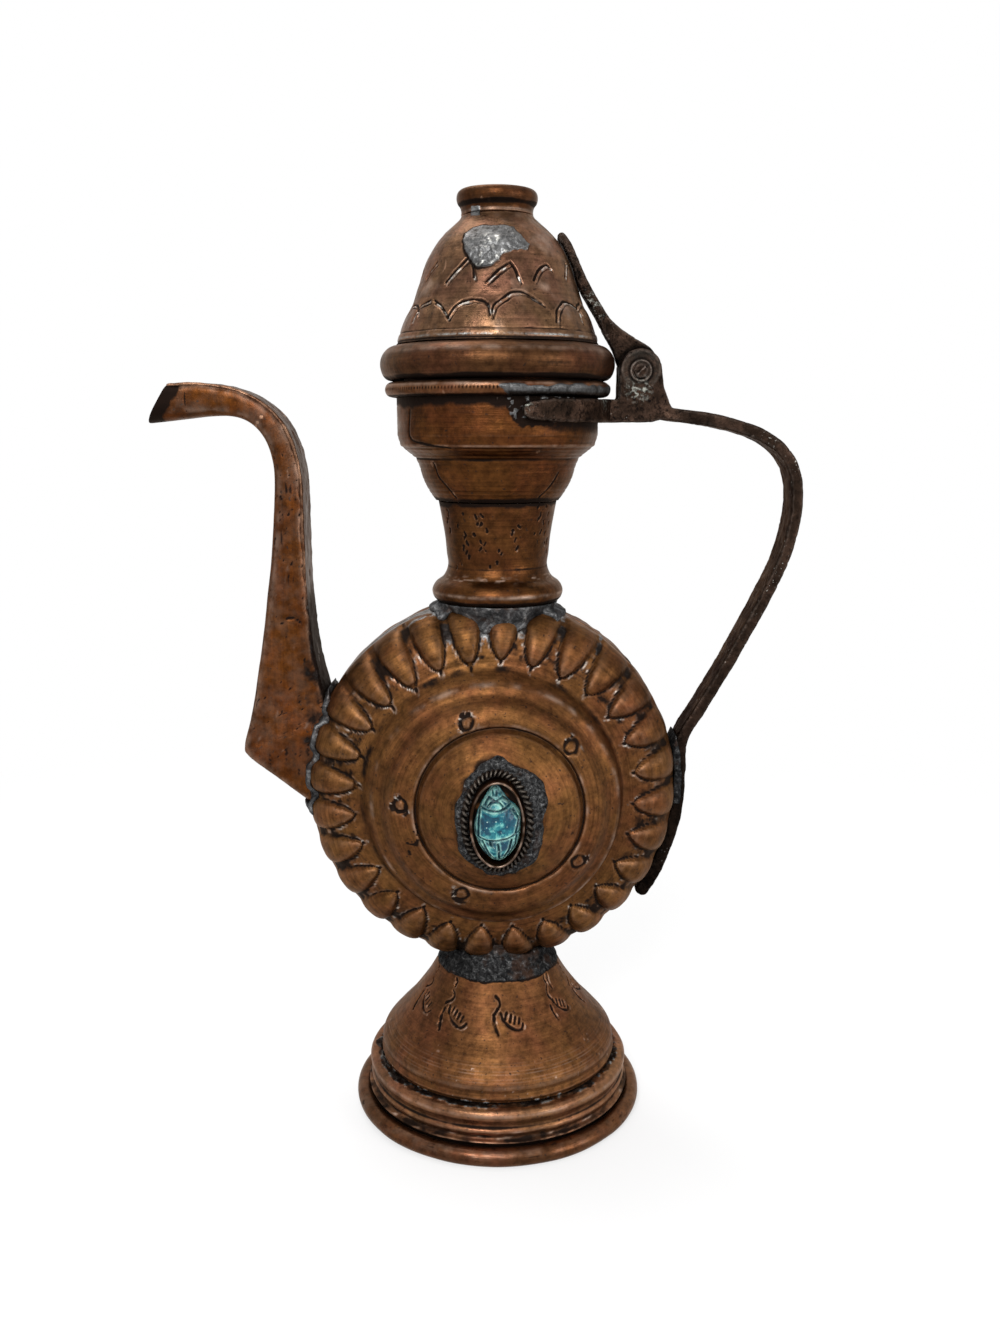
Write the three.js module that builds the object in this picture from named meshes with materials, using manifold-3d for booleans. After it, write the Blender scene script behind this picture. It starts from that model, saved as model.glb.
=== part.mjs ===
// A small copper coffee pot: a spun foot, a round flat belly stamped in two halves with a ring of
// petals, a turned neck and cup, a folded spout, a strap handle and a domed lid on a riveted hinge.
// Millimetres, +Z up. The pot's axis runs up through the foot; the spout points to -X, the handle
// to +X and the scarab on the belly faces -Y.

import * as THREE from "three";
import { mergeVertices } from "three/addons/utils/BufferGeometryUtils.js";
import Module from "manifold-3d";

const wasm = await Module();
wasm.setup();

// Sheet metal and the clearance left at each soldered, rolled or running joint.
const wall = 1.2;
const gap = 0.3;
const solderThickness = 1.3;
const overrun = 4;
const weldTolerance = 0.0001;

// Foot: a rolled rim to stand on, a stepped moulding and a bell.
const footRimRadius = 38.45;
const footRimHeight = 4.9;
const stepRadius = 36.9;
const stepHeight = 9.2;
const stepShelf = 4.6;
const bellRadius = 33.2;
const bellTopRadius = 16.2;
const bellHeight = 28.3;
const saddleSolder = 2.1;
const footCollarTopRadius = 13.3;

// Belly: two stamped halves that meet on a soldered seam. Depths are measured from the seam.
const bellyRadius = 50;
const bellyOffset = 1.7;
const bellyRimDepth = 5.5;
const seamThickness = 1;
const petalTipRadius = 36.7;
const petalTipDepth = 17.3;
const petalRise = 1.9;
const plateauRadius = 33.8;
const plateauDepth = 21.4;
const grooveRadius = 21.7;
const grooveDepth = 0.7;
const innerDomeDepth = 28.2;
const bellyDepth = 36.6;
const petalCount = 28;
const petalTurnShare = 0.68;

// Setting on the front dome: a scarab in an oval bezel with a twisted wire round its foot.
const settingOffset = 0.6;
const scarabWidth = 11.6;
const scarabHeight = 19.4;
const scarabThickness = 4.4;
const scarabGroove = 0.5;
const bezelHeight = 2.2;
const bezelThickness = 0.8;
const ropeRadius = 0.8;
const ropeTwistCount = 24;
const bezelSolderWidth = 2.1;
const bezelSolderThickness = 0.9;

// Neck and cup.
const neckHeight = 26.4;
const neckFootClearance = 0.4;
const neckBeadRadius = 17.6;
const neckWaistRadius = 13.3;
const neckCollarRadius = 18.6;
const cupHeight = 26.2;
const cupFootRadius = 16.4;
const cupRadius = 26.4;
const cupRimRadius = 29.4;
const cupRimHeight = 3.9;

// Lid: a rolled edge, a dome, a knob and the flange that keeps it over the cup's mouth.
const lidGap = 0.9;
const lidRimRadius = 30.6;
const lidRimHeight = 8.2;
const lidDomeRadius = 26.1;
const lidDomeHeight = 31.7;
const knobNeckRadius = 9.3;
const knobRadius = 10.4;
const knobHeight = 6.1;
const flangeClearance = 0.9;
const flangeDepth = 5.6;

// Spout: a folded channel closed by a strip along its back.
const spoutOverhang = 38.6;
const spoutRise = 107.2;
const spoutDepth = 18;
const spoutCorner = 2.2;
const spoutWall = 1;
const spoutSolderWidth = 1.6;

// Handle: a strap between the hinge block and the belly, with a yoke round the cup.
const handleReach = 80.4;
const handleWidth = 11;
const handleThickness = 3.3;
const handleEdge = 0.8;
const handleSolderWidth = 1.3;
const handleSolderThickness = 2.4;
const yokeHeight = 5.8;
const yokeThickness = 2.9;

// Hinge: two ears on the handle's block, a knuckle on the lid's arm and a riveted pin.
const hingeClearance = 0.9;
const hingeRise = 7.3;
const earRadius = 5.5;
const blockTail = 7;
const knuckleWidth = 4.4;
const pinRadius = 1.4;
const pinHeadRadius = 1.9;
const pinHeadHeight = 0.9;
const armWidth = 7;
const armThickness = 2.6;

// Angles in degrees: the yoke's half turn round the cup, and where the solder on the belly's seam
// stops for the neck and the spout.
const yokeSpreadAngle = 80;
const seamNeckAngle = 18;
const seamSpoutTopAngle = 148;
const seamSpoutFootAngle = 192;
const seamStepAngle = 9;

// Counts of flats and stations.
const roundFlats = 24;
const smallFlats = 12;
const settingFlats = 18;
const rimTubeFlats = 8;
const earFlats = 8;
const yokeFlats = 16;
const spoutStationCount = 18;
const handleStationCount = 20;
const armStationCount = 12;

// Heights that follow from the pieces stacked below.
const stepBottom = footRimHeight + gap;
const stepTop = stepBottom + stepHeight;
const bellBottom = stepTop + gap;
const bellTop = bellBottom + bellHeight;
const bellyHeight = bellTop + saddleSolder + bellyRadius;
const neckBottom = bellyHeight + bellyRadius + neckFootClearance;
const neckTop = neckBottom + neckHeight;
const cupBottom = neckTop + gap;
const cupTop = cupBottom + cupHeight;
const cupRimBottom = cupTop + gap;
const cupRimTop = cupRimBottom + cupRimHeight;
const lidRimBottom = cupRimTop + lidGap;
const lidRimTop = lidRimBottom + lidRimHeight;
const lidDomeBottom = lidRimTop + gap;
const lidDomeTop = lidDomeBottom + lidDomeHeight;
const knobBottom = lidDomeTop + gap;
const yokeTop = cupTop - gap;
const yokeBottom = yokeTop - yokeHeight;
const hingeHeight = yokeTop + hingeRise;

// Distances from the pot's axis that follow from the belly and the lid.
const spoutReach = bellyOffset + bellyRadius + spoutOverhang;
const hingeReach = lidRimRadius + hingeClearance + earRadius;
const blockReach = hingeReach + blockTail;

const copper = { color: 0x7c4a2c, roughness: 0.42, metalness: 0.85 };
const darkMetal = { color: 0x3d2a22, roughness: 0.6, metalness: 0.8 };
const solder = { color: 0x75777a, roughness: 0.55, metalness: 0.7 };
const faience = { color: 0x3f9fae, roughness: 0.25, metalness: 0 };

const pot = new THREE.Group();
const body = new THREE.Group();
const lid = new THREE.Group();
pot.add(body, lid);

// Adds one named piece to a group, from its solid.
function addPiece(group, name, solid, finish) {
  const mesh = new THREE.Mesh(geometryOf(solid), new THREE.MeshStandardMaterial(finish));
  mesh.name = name;
  group.add(mesh);
}

// A closed geometry as a solid that can be joined and cut.
function solidOf(geometry) {
  const bare = geometry.clone();
  bare.deleteAttribute("normal");
  bare.deleteAttribute("uv");
  const merged = mergeVertices(bare, weldTolerance);
  const corners = merged.index.array;
  const kept = [];
  for (let i = 0; i < corners.length; i += 3) {
    const [a, b, c] = corners.slice(i, i + 3);
    if (a !== b && b !== c && c !== a) kept.push(a, b, c);
  }
  const vertProperties = merged.attributes.position.array;
  const triVerts = new Uint32Array(kept);
  const made = new wasm.Manifold(new wasm.Mesh({ numProp: 3, vertProperties, triVerts }));
  if (made.volume() > 0) return made;
  for (let i = 0; i < triVerts.length; i += 3) {
    [triVerts[i], triVerts[i + 1]] = [triVerts[i + 1], triVerts[i]];
  }
  return new wasm.Manifold(new wasm.Mesh({ numProp: 3, vertProperties, triVerts }));
}

function geometryOf(solid) {
  const mesh = solid.getMesh();
  const geometry = new THREE.BufferGeometry();
  geometry.setAttribute("position", new THREE.BufferAttribute(mesh.vertProperties, 3));
  geometry.setIndex(new THREE.BufferAttribute(mesh.triVerts, 1));
  geometry.computeVertexNormals();
  return geometry;
}

// A closed [radius, height] outline turned round the pot's axis.
function revolve(outline, flats = roundFlats) {
  const points = [...outline, outline[0]].map(([radius, height]) => new THREE.Vector2(radius, height));
  return solidOf(new THREE.LatheGeometry(points, flats).rotateX(Math.PI / 2));
}

// An outline of [radius share, height share] pairs between two radii and two heights.
function profileOf(shares, lowRadius, highRadius, bottom, height) {
  return shares.map(([across, up]) => [lowRadius + across * (highRadius - lowRadius), bottom + up * height]);
}

// The outline moved outwards along its own normals, or inwards where the distance is negative.
function offsetProfile(outline, distance) {
  return outline.map(([radius, height], i) => {
    const before = outline[Math.max(i - 1, 0)];
    const after = outline[Math.min(i + 1, outline.length - 1)];
    const run = Math.hypot(after[0] - before[0], after[1] - before[1]);
    const outwards = (after[1] - before[1]) / run;
    const upwards = (before[0] - after[0]) / run;
    return [radius + outwards * distance, height + upwards * distance];
  });
}

// Turned sheet metal: the outline is its outer face, and its inner face follows the kept points.
function turnedSheet(outline, keptPoints, flats = roundFlats) {
  const inner = offsetProfile(outline, -wall);
  inner[0][1] = outline[0][1];
  inner[outline.length - 1][1] = outline[outline.length - 1][1];
  const innerFace = keptPoints.map((index) => inner[index]).reverse();
  return revolve([...outline, ...innerFace], flats);
}

// Rings of points joined one to the next into a closed surface. A ring of one point is a tip, and
// rings may have different numbers of points. A looped run joins its last ring to its first.
function ringSurface(rings, looped = false) {
  const positions = [];
  const starts = [];
  const faces = [];
  for (const ring of rings) {
    starts.push(positions.length / 3);
    ring.forEach((point) => positions.push(...point));
  }
  const bands = looped ? rings.length : rings.length - 1;
  for (let band = 0; band < bands; band += 1) {
    const next = (band + 1) % rings.length;
    const countA = rings[band].length;
    const countB = rings[next].length;
    const stepsA = countA > 1 ? countA : 0;
    const stepsB = countB > 1 ? countB : 0;
    let i = 0;
    let j = 0;
    while (i < stepsA || j < stepsB) {
      const a = starts[band] + (i % countA);
      const b = starts[next] + (j % countB);
      const stepsOnA = j >= stepsB || (i < stepsA && (i + 1) * stepsB <= (j + 1) * stepsA);
      if (stepsOnA) {
        faces.push(a, starts[band] + ((i + 1) % countA), b);
        i += 1;
      } else {
        faces.push(a, starts[next] + ((j + 1) % countB), b);
        j += 1;
      }
    }
  }
  const geometry = new THREE.BufferGeometry();
  geometry.setAttribute("position", new THREE.Float32BufferAttribute(positions, 3));
  geometry.setIndex(faces);
  return solidOf(geometry);
}

// Sections with equal numbers of corners, skinned in order and closed by a flat face at each end.
// A section holds its flat outline and the same corners in space.
function loft(given) {
  const flat = (section) => section.outline.map(([across, deep]) => new THREE.Vector2(across, deep));
  const backwards = THREE.ShapeUtils.isClockWise(flat(given[0]));
  const sections = backwards ? given.map(turnedOver) : given;
  const corners = sections[0].outline.length;
  const positions = sections.flatMap((section) => section.points.flat());
  const faces = [];
  for (let s = 0; s + 1 < sections.length; s += 1) {
    for (let i = 0; i < corners; i += 1) {
      const a = s * corners + i;
      const b = s * corners + ((i + 1) % corners);
      faces.push(a, b, a + corners, b, b + corners, a + corners);
    }
  }
  const lastStart = (sections.length - 1) * corners;
  for (const [a, b, c] of THREE.ShapeUtils.triangulateShape(flat(sections[0]), [])) {
    faces.push(a, c, b);
  }
  for (const [a, b, c] of THREE.ShapeUtils.triangulateShape(flat(sections[sections.length - 1]), [])) {
    faces.push(lastStart + a, lastStart + b, lastStart + c);
  }
  const geometry = new THREE.BufferGeometry();
  geometry.setAttribute("position", new THREE.Float32BufferAttribute(positions, 3));
  geometry.setIndex(faces);
  return solidOf(geometry);
}

// A section with its corners listed the other way round.
function turnedOver({ outline, points }) {
  return { outline: [...outline].reverse(), points: [...points].reverse() };
}

// Sections of a strip in the pot's plane of symmetry, between a first and a second edge given as
// [x, z] points. The outline is made for the strip's width and its place along the run, 0 to 1.
function stripSections(firstEdge, secondEdge, stations, outlineFor) {
  const first = new THREE.SplineCurve(firstEdge.map(([x, z]) => new THREE.Vector2(x, z)));
  const second = new THREE.SplineCurve(secondEdge.map(([x, z]) => new THREE.Vector2(x, z)));
  return Array.from({ length: stations }, (_, i) => {
    const along = i / (stations - 1);
    const from = first.getPoint(along);
    const width = from.distanceTo(second.getPoint(along));
    const across = second.getPoint(along).sub(from).normalize();
    const outline = outlineFor(width, along);
    const points = outline.map(([u, v]) => [from.x + across.x * u, v, from.y + across.y * u]);
    return { outline, points };
  });
}

// A table of shares read at a place along a run, 0 to 1, with straight lines between its entries.
function shareAt(shares, along) {
  const place = along * (shares.length - 1);
  const low = Math.min(Math.floor(place), shares.length - 2);
  return THREE.MathUtils.lerp(shares[low], shares[low + 1], place - low);
}

// A flat outline pushed along Y, centred on the pot's plane of symmetry.
function platedShape(shape, width, curveSegments) {
  const plate = new THREE.ExtrudeGeometry(shape, { depth: width, bevelEnabled: false, curveSegments });
  return solidOf(plate.rotateX(Math.PI / 2).translate(0, width / 2, 0));
}

function box(x0, x1, y0, y1, z0, z1) {
  const block = new THREE.BoxGeometry(x1 - x0, y1 - y0, z1 - z0);
  return solidOf(block.translate((x0 + x1) / 2, (y0 + y1) / 2, (z0 + z1) / 2));
}

// A round bar along Y through the hinge axis.
function hingeBar(radius, width) {
  const bar = new THREE.CylinderGeometry(radius, radius, width, smallFlats);
  return solidOf(bar.translate(hingeReach, 0, hingeHeight));
}

// Foot
const rimTube = footRimHeight / 2;
const rimCorner = rimTube / Math.cos(Math.PI / rimTubeFlats);
const footRimOutline = Array.from({ length: rimTubeFlats }, (_, i) => {
  const turn = ((i + 0.5) * 2 * Math.PI) / rimTubeFlats - Math.PI / 2;
  return [footRimRadius + rimCorner * Math.cos(turn), rimTube + rimCorner * Math.sin(turn)];
});
addPiece(body, "foot_rim_ring", revolve(footRimOutline), copper);

const stepInsetShare = 0.3;
const stepFootRadius = footRimRadius - rimTube * stepInsetShare;
const stepOuterShares = [[1, 0.05], [0.1, 0.1], [0.42, 0.26], [0.3, 0.87], [0, 1]];
const stepTopRadius = stepRadius - wall;
const stepOutline = [
  [stepTopRadius - wall, stepBottom],
  [stepFootRadius, stepBottom],
  ...profileOf(stepOuterShares, stepTopRadius, stepFootRadius, stepBottom, stepHeight),
  [stepTopRadius - stepShelf, stepTop],
  [stepTopRadius - stepShelf, stepTop - wall],
  [stepTopRadius - wall, stepTop - wall],
];
addPiece(body, "foot_step_ring", revolve(stepOutline), copper);

const bellShares = [
  [1, 0],
  [0.99, 0.18],
  [0.81, 0.325],
  [0.585, 0.47],
  [0.413, 0.6],
  [0.24, 0.745],
  [0.084, 0.905],
  [0, 1],
];
const bellOutline = profileOf(bellShares, bellTopRadius, bellRadius, bellBottom, bellHeight);
addPiece(body, "foot_bell", turnedSheet(bellOutline, [0, 1, 3, 5, 7]), copper);

// Belly. The surface is a stack of rings from the seam in to the middle of the dome. A ring has a
// radius, a depth from the seam, and in the petal band the half width and the rise of its petals.
const petalRunShares = [0.05, 0.32, 0.66, 0.92];
const petalWidthShares = [0.2, 0.64, 0.88, 0.94];
const petalRiseShares = [0.12, 0.9, 1, 0.35];
const petalFlankShare = 0.5;
const petalFloorShares = [0.55, 0.9, 1, 0.35];

// The petal band runs over a quarter of an oval, from the tips at 0 to the belly's rim at 1.
function petalBandPoint(runShare) {
  const turn = (runShare * Math.PI) / 2;
  const reach = bellyRadius - petalTipRadius;
  const drop = petalTipDepth - bellyRimDepth;
  const point = [petalTipRadius + reach * Math.sin(turn), bellyRimDepth + drop * Math.cos(turn)];
  const slope = Math.hypot(drop * Math.sin(turn), reach * Math.cos(turn));
  return { point, normal: [(drop * Math.sin(turn)) / slope, (reach * Math.cos(turn)) / slope] };
}

// One ring of the petal band: each petal has two edges on the floor and a raised back between
// them, and the floor runs straight from its edge to the next petal's.
function petalRing(level, centre, side, offset) {
  const { point, normal } = petalBandPoint(petalRunShares[level]);
  const floorDrop = petalRise * petalFloorShares[level];
  const rise = petalRise * petalRiseShares[level];
  const half = petalWidthShares[level];
  const columns = [
    [-half, 0],
    [-half * petalFlankShare, rise],
    [half * petalFlankShare, rise],
    [half, 0],
  ];
  const ring = [];
  for (let petal = 0; petal < petalCount; petal += 1) {
    for (const [sideways, height] of columns) {
      const turn = ((petal + petalTurnShare + sideways / 2) * 2 * Math.PI) / petalCount;
      const lift = height - floorDrop + offset;
      const radius = point[0] + normal[0] * lift;
      const depth = point[1] + normal[1] * lift;
      ring.push([
        centre[0] + radius * Math.cos(turn),
        side * depth,
        centre[1] + radius * Math.sin(turn),
      ]);
    }
  }
  return ring;
}

function plainRing(radius, depth, columns, centre, side) {
  const turnStart = ((petalTurnShare - 0.5) * 2 * Math.PI) / petalCount;
  return Array.from({ length: columns }, (_, i) => {
    const turn = turnStart + (i * 2 * Math.PI) / columns;
    return [centre[0] + radius * Math.cos(turn), side * depth, centre[1] + radius * Math.sin(turn)];
  });
}

const bellyCentre = [-bellyOffset, bellyHeight];
const floorDepth = petalTipDepth - petalRise / 2;
const stepUp = plateauDepth - floorDepth;
const domeRise = bellyDepth - innerDomeDepth;
const domeRound = (grooveRadius ** 2 + domeRise ** 2) / (2 * domeRise);
const domeDepthAt = (radius) => bellyDepth - domeRound + Math.sqrt(domeRound ** 2 - radius ** 2);
const stepMiddleShare = 0.6;
const plateauSwellShare = 0.68;
const grooveSinkShare = 1.5;
const grooveFloorDepth = innerDomeDepth - grooveDepth * grooveSinkShare;
const plateauMiddleDepth = THREE.MathUtils.lerp(plateauDepth, innerDomeDepth, plateauSwellShare);
const stampedRings = [
  [petalTipRadius, floorDepth],
  [petalTipRadius - petalRise / 2, floorDepth + stepUp * stepMiddleShare],
  [plateauRadius, plateauDepth],
  [(plateauRadius + grooveRadius) / 2, plateauMiddleDepth],
  [grooveRadius + grooveDepth, innerDomeDepth - grooveDepth / 2],
  [grooveRadius, grooveFloorDepth],
  [grooveRadius - grooveDepth, domeDepthAt(grooveRadius - grooveDepth)],
];
const domeRadiusShares = [0.7, 0.38];
const domeRadii = domeRadiusShares.map((share) => grooveRadius * share);
const rimColumns = 2 * petalCount;

// The outer face of one half from its seam to the dome's tip. The offset moves it outwards.
function stampedFace(side, offset, seamDepth) {
  const centre = bellyCentre;
  const rings = [
    plainRing(bellyRadius + offset, seamDepth, rimColumns, centre, side),
    plainRing(bellyRadius + offset, bellyRimDepth, rimColumns, centre, side),
  ];
  for (let level = petalRunShares.length - 1; level >= 0; level -= 1) {
    rings.push(petalRing(level, centre, side, offset));
  }
  for (const [radius, depth] of stampedRings) {
    rings.push(plainRing(radius, depth + offset, petalCount, centre, side));
  }
  for (const radius of domeRadii) {
    rings.push(plainRing(radius, domeDepthAt(radius) + offset, petalCount, centre, side));
  }
  rings.push([[centre[0], side * (bellyDepth + offset), centre[1]]]);
  return rings;
}

const hollowSlackShare = 1.3;
const hollowRimShare = 1.5;

// The inner face of one half, plainer than the outer one, from the dome's tip back to the seam.
function hollowFace(side, seamDepth) {
  const centre = bellyCentre;
  const slack = petalRise + wall;
  const rings = [
    [domeRadii[0] - wall / 2, domeDepthAt(domeRadii[0]) - wall],
    [grooveRadius - wall, grooveFloorDepth - wall],
    [petalTipRadius - slack, floorDepth - wall],
    [bellyRadius - slack * hollowSlackShare, bellyRimDepth + wall * hollowRimShare],
    [bellyRadius - wall, seamDepth],
  ].map(([radius, depth]) => plainRing(radius, depth, petalCount, centre, side));
  return [[[centre[0], side * (bellyDepth - wall), centre[1]]], ...rings];
}

// The whole belly as a filled form, for trimming what is soldered to it. Its halves lap the seam.
function bellyForm(offset) {
  const half = (side) => ringSurface([
    [[bellyCentre[0], -side * gap, bellyCentre[1]]],
    ...stampedFace(side, offset, -gap),
  ]);
  return half(-1).add(half(1));
}

const seamEdge = seamThickness / 2 + gap;
const bellyHalf = (side) => ringSurface([
  ...hollowFace(side, seamEdge),
  ...stampedFace(side, 0, seamEdge),
]);
const bellyTight = bellyForm(gap);
const rimRadius = bellyRadius + gap;
const rimDiscTurned = new THREE.CylinderGeometry(rimRadius, rimRadius, 2 * bellyDepth, rimColumns);
const rimDisc = solidOf(rimDiscTurned.translate(bellyCentre[0], 0, bellyHeight));
const bellySolderFace = bellyForm(gap + solderThickness);

// Spout. The pairs are the back edge and the front edge, first the mouth. The run down to the
// belly is in shares of the spout's overhang past the belly and of its rise above the belly's
// centre, and its root in shares of the belly's radius.
const spoutRunShares = [
  [0.888, 0.998, 1, 0.907],
  [0.694, 1, 0.799, 0.914],
  [0.51, 0.994, 0.605, 0.922],
  [0.345, 0.977, 0.448, 0.921],
  [0.2, 0.945, 0.333, 0.906],
  [0.093, 0.9, 0.244, 0.872],
  [0.02, 0.838, 0.196, 0.825],
  [-0.012, 0.76, 0.182, 0.763],
  [-0.015, 0.62, 0.211, 0.616],
  [-0.022, 0.485, 0.26, 0.476],
  [-0.057, 0.35, 0.314, 0.336],
];
const spoutRootShares = [
  [0.906, 0.52, 1.305, 0.385],
  [0.876, 0.43, 1.345, 0.22],
  [0.846, 0.36, 1.32, 0.155],
  [0.816, 0.26, 1.156, 0.025],
  [0.786, 0.16, 0.956, -0.13],
  [0.726, 0.06, 0.806, -0.26],
];
const spoutDepthShares = [0.7, 0.72, 0.76, 0.78, 0.82, 1, 1];

function spoutEdge(first) {
  const run = spoutRunShares.map((pair) => [
    -bellyOffset - bellyRadius - spoutOverhang * pair[first],
    bellyHeight + spoutRise * pair[first + 1],
  ]);
  const root = spoutRootShares.map((pair) => [
    bellyCentre[0] - bellyRadius * pair[first],
    bellyHeight + bellyRadius * pair[first + 1],
  ]);
  return [...run, ...root];
}

const spoutBack = spoutEdge(0);
const spoutFront = spoutEdge(2);
const spoutHalfDepth = (along) => (spoutDepth * shareAt(spoutDepthShares, along)) / 2;

// The folded channel: two sides and a rounded front, open towards the back strip.
function channelOutline(width, along) {
  const half = spoutHalfDepth(along);
  const open = spoutWall + gap;
  const soft = spoutCorner * (1 - Math.SQRT1_2);
  const inner = width - spoutWall;
  const innerHalf = half - spoutWall;
  const innerCorner = spoutCorner - spoutWall;
  const side = [
    [open, half],
    [width - spoutCorner, half],
    [width - soft, half - soft],
    [width, half - spoutCorner],
  ];
  const mirrored = side.map(([u, v]) => [u, -v]).reverse();
  return [
    ...side,
    ...mirrored,
    [open, -innerHalf],
    [inner - innerCorner, -innerHalf],
    [inner, innerCorner - innerHalf],
    [inner, innerHalf - innerCorner],
    [inner - innerCorner, innerHalf],
    [open, innerHalf],
  ];
}

const backStripOutline = (width, along) => {
  const half = spoutHalfDepth(along);
  return [[0, 0 - half + spoutWall], [0, half - spoutWall], [spoutWall, half], [spoutWall, -half]];
};

// The spout's outer shape grown by a margin, or its bore where the margin is negative.
const grownSpoutOutline = (margin) => (width, along) => {
  const half = spoutHalfDepth(along) + margin;
  return [[-margin, -half], [-margin, half], [width + margin, half], [width + margin, -half]];
};

const spoutSections = (outlineFor) => stripSections(spoutBack, spoutFront, spoutStationCount, outlineFor);
const spoutRaw = loft(spoutSections(channelOutline));
const backStripRaw = loft(spoutSections(backStripOutline));
const spoutBore = loft(spoutSections(grownSpoutOutline(-spoutWall - gap)));
const spoutTight = loft(spoutSections(grownSpoutOutline(gap)));
const spoutWide = loft(spoutSections(grownSpoutOutline(spoutSolderWidth)));

addPiece(body, "spout_channel", spoutRaw.subtract(bellyTight), copper);
addPiece(body, "spout_back_strip", backStripRaw.subtract(rimDisc), copper);
const spoutSolder = spoutWide.intersect(bellySolderFace).subtract(bellyTight).subtract(spoutTight);
addPiece(body, "spout_solder", spoutSolder, solder);

// The neck's bore passes into the top of the belly.
const neckBoreRadius = neckWaistRadius - wall;
const neckSpreadShare = 1.8;
const neckBore = revolve([
  [0, bellyHeight + bellyRadius / 2],
  [neckBoreRadius, bellyHeight + bellyRadius / 2],
  [neckBoreRadius, neckBottom + overrun],
  [0, neckBottom + overrun],
]);
addPiece(body, "belly_front_shell", bellyHalf(-1).subtract(neckBore).subtract(spoutBore), copper);
addPiece(body, "belly_rear_shell", bellyHalf(1).subtract(neckBore).subtract(spoutBore), copper);

// Solder along the seam, in two runs: neck to spout, and neck round the handle and foot to spout.
function seamRun(startAngle, endAngle) {
  const stations = Math.round((endAngle - startAngle) / seamStepAngle) + 1;
  const half = seamThickness / 2;
  const outline = [[-wall, -half], [-wall, half], [0, half], [0, -half]];
  const sections = Array.from({ length: stations }, (_, i) => {
    const angle = startAngle + ((endAngle - startAngle) * i) / (stations - 1);
    const turn = THREE.MathUtils.degToRad(angle);
    const points = outline.map(([out, deep]) => [
      bellyCentre[0] + (bellyRadius + out) * Math.cos(turn),
      deep,
      bellyCentre[1] + (bellyRadius + out) * Math.sin(turn),
    ]);
    return { outline, points };
  });
  return loft(sections);
}

addPiece(body, "seam_solder_left", seamRun(90 + seamNeckAngle, seamSpoutTopAngle), solder);
addPiece(body, "seam_solder_right", seamRun(seamSpoutFootAngle - 360, 90 - seamNeckAngle), solder);

// Solder between the bell and the belly: a cone that narrows up to the belly's underside.
const bellSeat = bellTop + gap;
const footCollarMiddle = (bellTopRadius + footCollarTopRadius) / 2;
const footCollarTop = bellyHeight - Math.sqrt(bellyRadius ** 2 - bellTopRadius ** 2);
const footCollar = revolve([
  [footCollarTopRadius - solderThickness, bellSeat],
  [bellTopRadius, bellSeat],
  [footCollarMiddle, (bellSeat + footCollarTop) / 2],
  [footCollarTopRadius, footCollarTop + solderThickness],
  [footCollarTopRadius, bellyHeight - bellyRadius / 2],
  [footCollarTopRadius - solderThickness, bellyHeight - bellyRadius / 2],
]);
addPiece(body, "foot_solder_collar", footCollar.subtract(bellyTight), solder);

// Solder round the foot of the neck: a cone under the neck, spread sideways over the seam.
const neckFootShare = 0.74;
const neckFootRadius = neckWaistRadius + (neckBeadRadius - neckWaistRadius) * neckFootShare;
const neckSeat = neckBottom - gap;
const neckCollarLow = bellyHeight + Math.sqrt(bellyRadius ** 2 - neckFootRadius ** 2) - solderThickness;
const neckCone = revolve([
  [neckBoreRadius + gap, bellyHeight + bellyRadius / 2],
  [neckWaistRadius + solderThickness, bellyHeight + bellyRadius / 2],
  [neckWaistRadius + solderThickness, neckCollarLow],
  [neckFootRadius, neckSeat],
  [neckBoreRadius + gap, neckSeat],
]);
const neckBase = revolve([
  [neckBoreRadius + gap, neckCollarLow - bellyRimDepth],
  [neckCollarRadius, neckCollarLow - bellyRimDepth],
  [neckCollarRadius, neckSeat],
  [neckBoreRadius + gap, neckSeat],
]);
const neckSpread = box(
  -neckCollarRadius,
  neckCollarRadius,
  -bellyRimDepth * neckSpreadShare,
  bellyRimDepth * neckSpreadShare,
  bellyHeight,
  neckSeat,
);
const neckSaddle = neckBase.intersect(neckSpread).intersect(bellySolderFace);
addPiece(body, "neck_solder_collar", neckCone.add(neckSaddle).subtract(bellyTight), solder);

// Neck and cup
const neckShares = [
  [neckFootShare, 0],
  [1, 0.106],
  [0.77, 0.178],
  [0.26, 0.246],
  [0, 0.356],
  [0.09, 0.485],
  [0.19, 0.65],
  [0.42, 0.875],
  [0.56, 1],
];
const neckOutline = profileOf(neckShares, neckWaistRadius, neckBeadRadius, neckBottom, neckHeight);
addPiece(body, "neck_tube", turnedSheet(neckOutline, [0, 2, 4, 8]), copper);

const cupShares = [
  [0, 0],
  [0.16, 0.084],
  [0.33, 0.206],
  [0.46, 0.363],
  [0.62, 0.443],
  [0.9, 0.546],
  [1, 0.66],
  [1, 1],
];
const cupOutline = profileOf(cupShares, cupFootRadius, cupRadius, cupBottom, cupHeight);
addPiece(body, "neck_cup", turnedSheet(cupOutline, [0, 3, 5, 6, 7]), copper);

const cupRimShares = [[0, 0], [0.48, 0], [0.9, 0.23], [1, 0.56], [0.86, 0.9], [0.57, 1], [0, 1]];
const cupRim = profileOf(cupRimShares, cupRadius - wall, cupRimRadius, cupRimBottom, cupRimHeight);
addPiece(body, "cup_rim_ring", revolve(cupRim), copper);

// Setting
const scarabBaseDepth = domeDepthAt(scarabHeight / 2) - wall;
const scarabTopDepth = bellyDepth + scarabThickness;
const scarabHeadShare = 0.24;
const settingCentre = -settingOffset;

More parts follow.
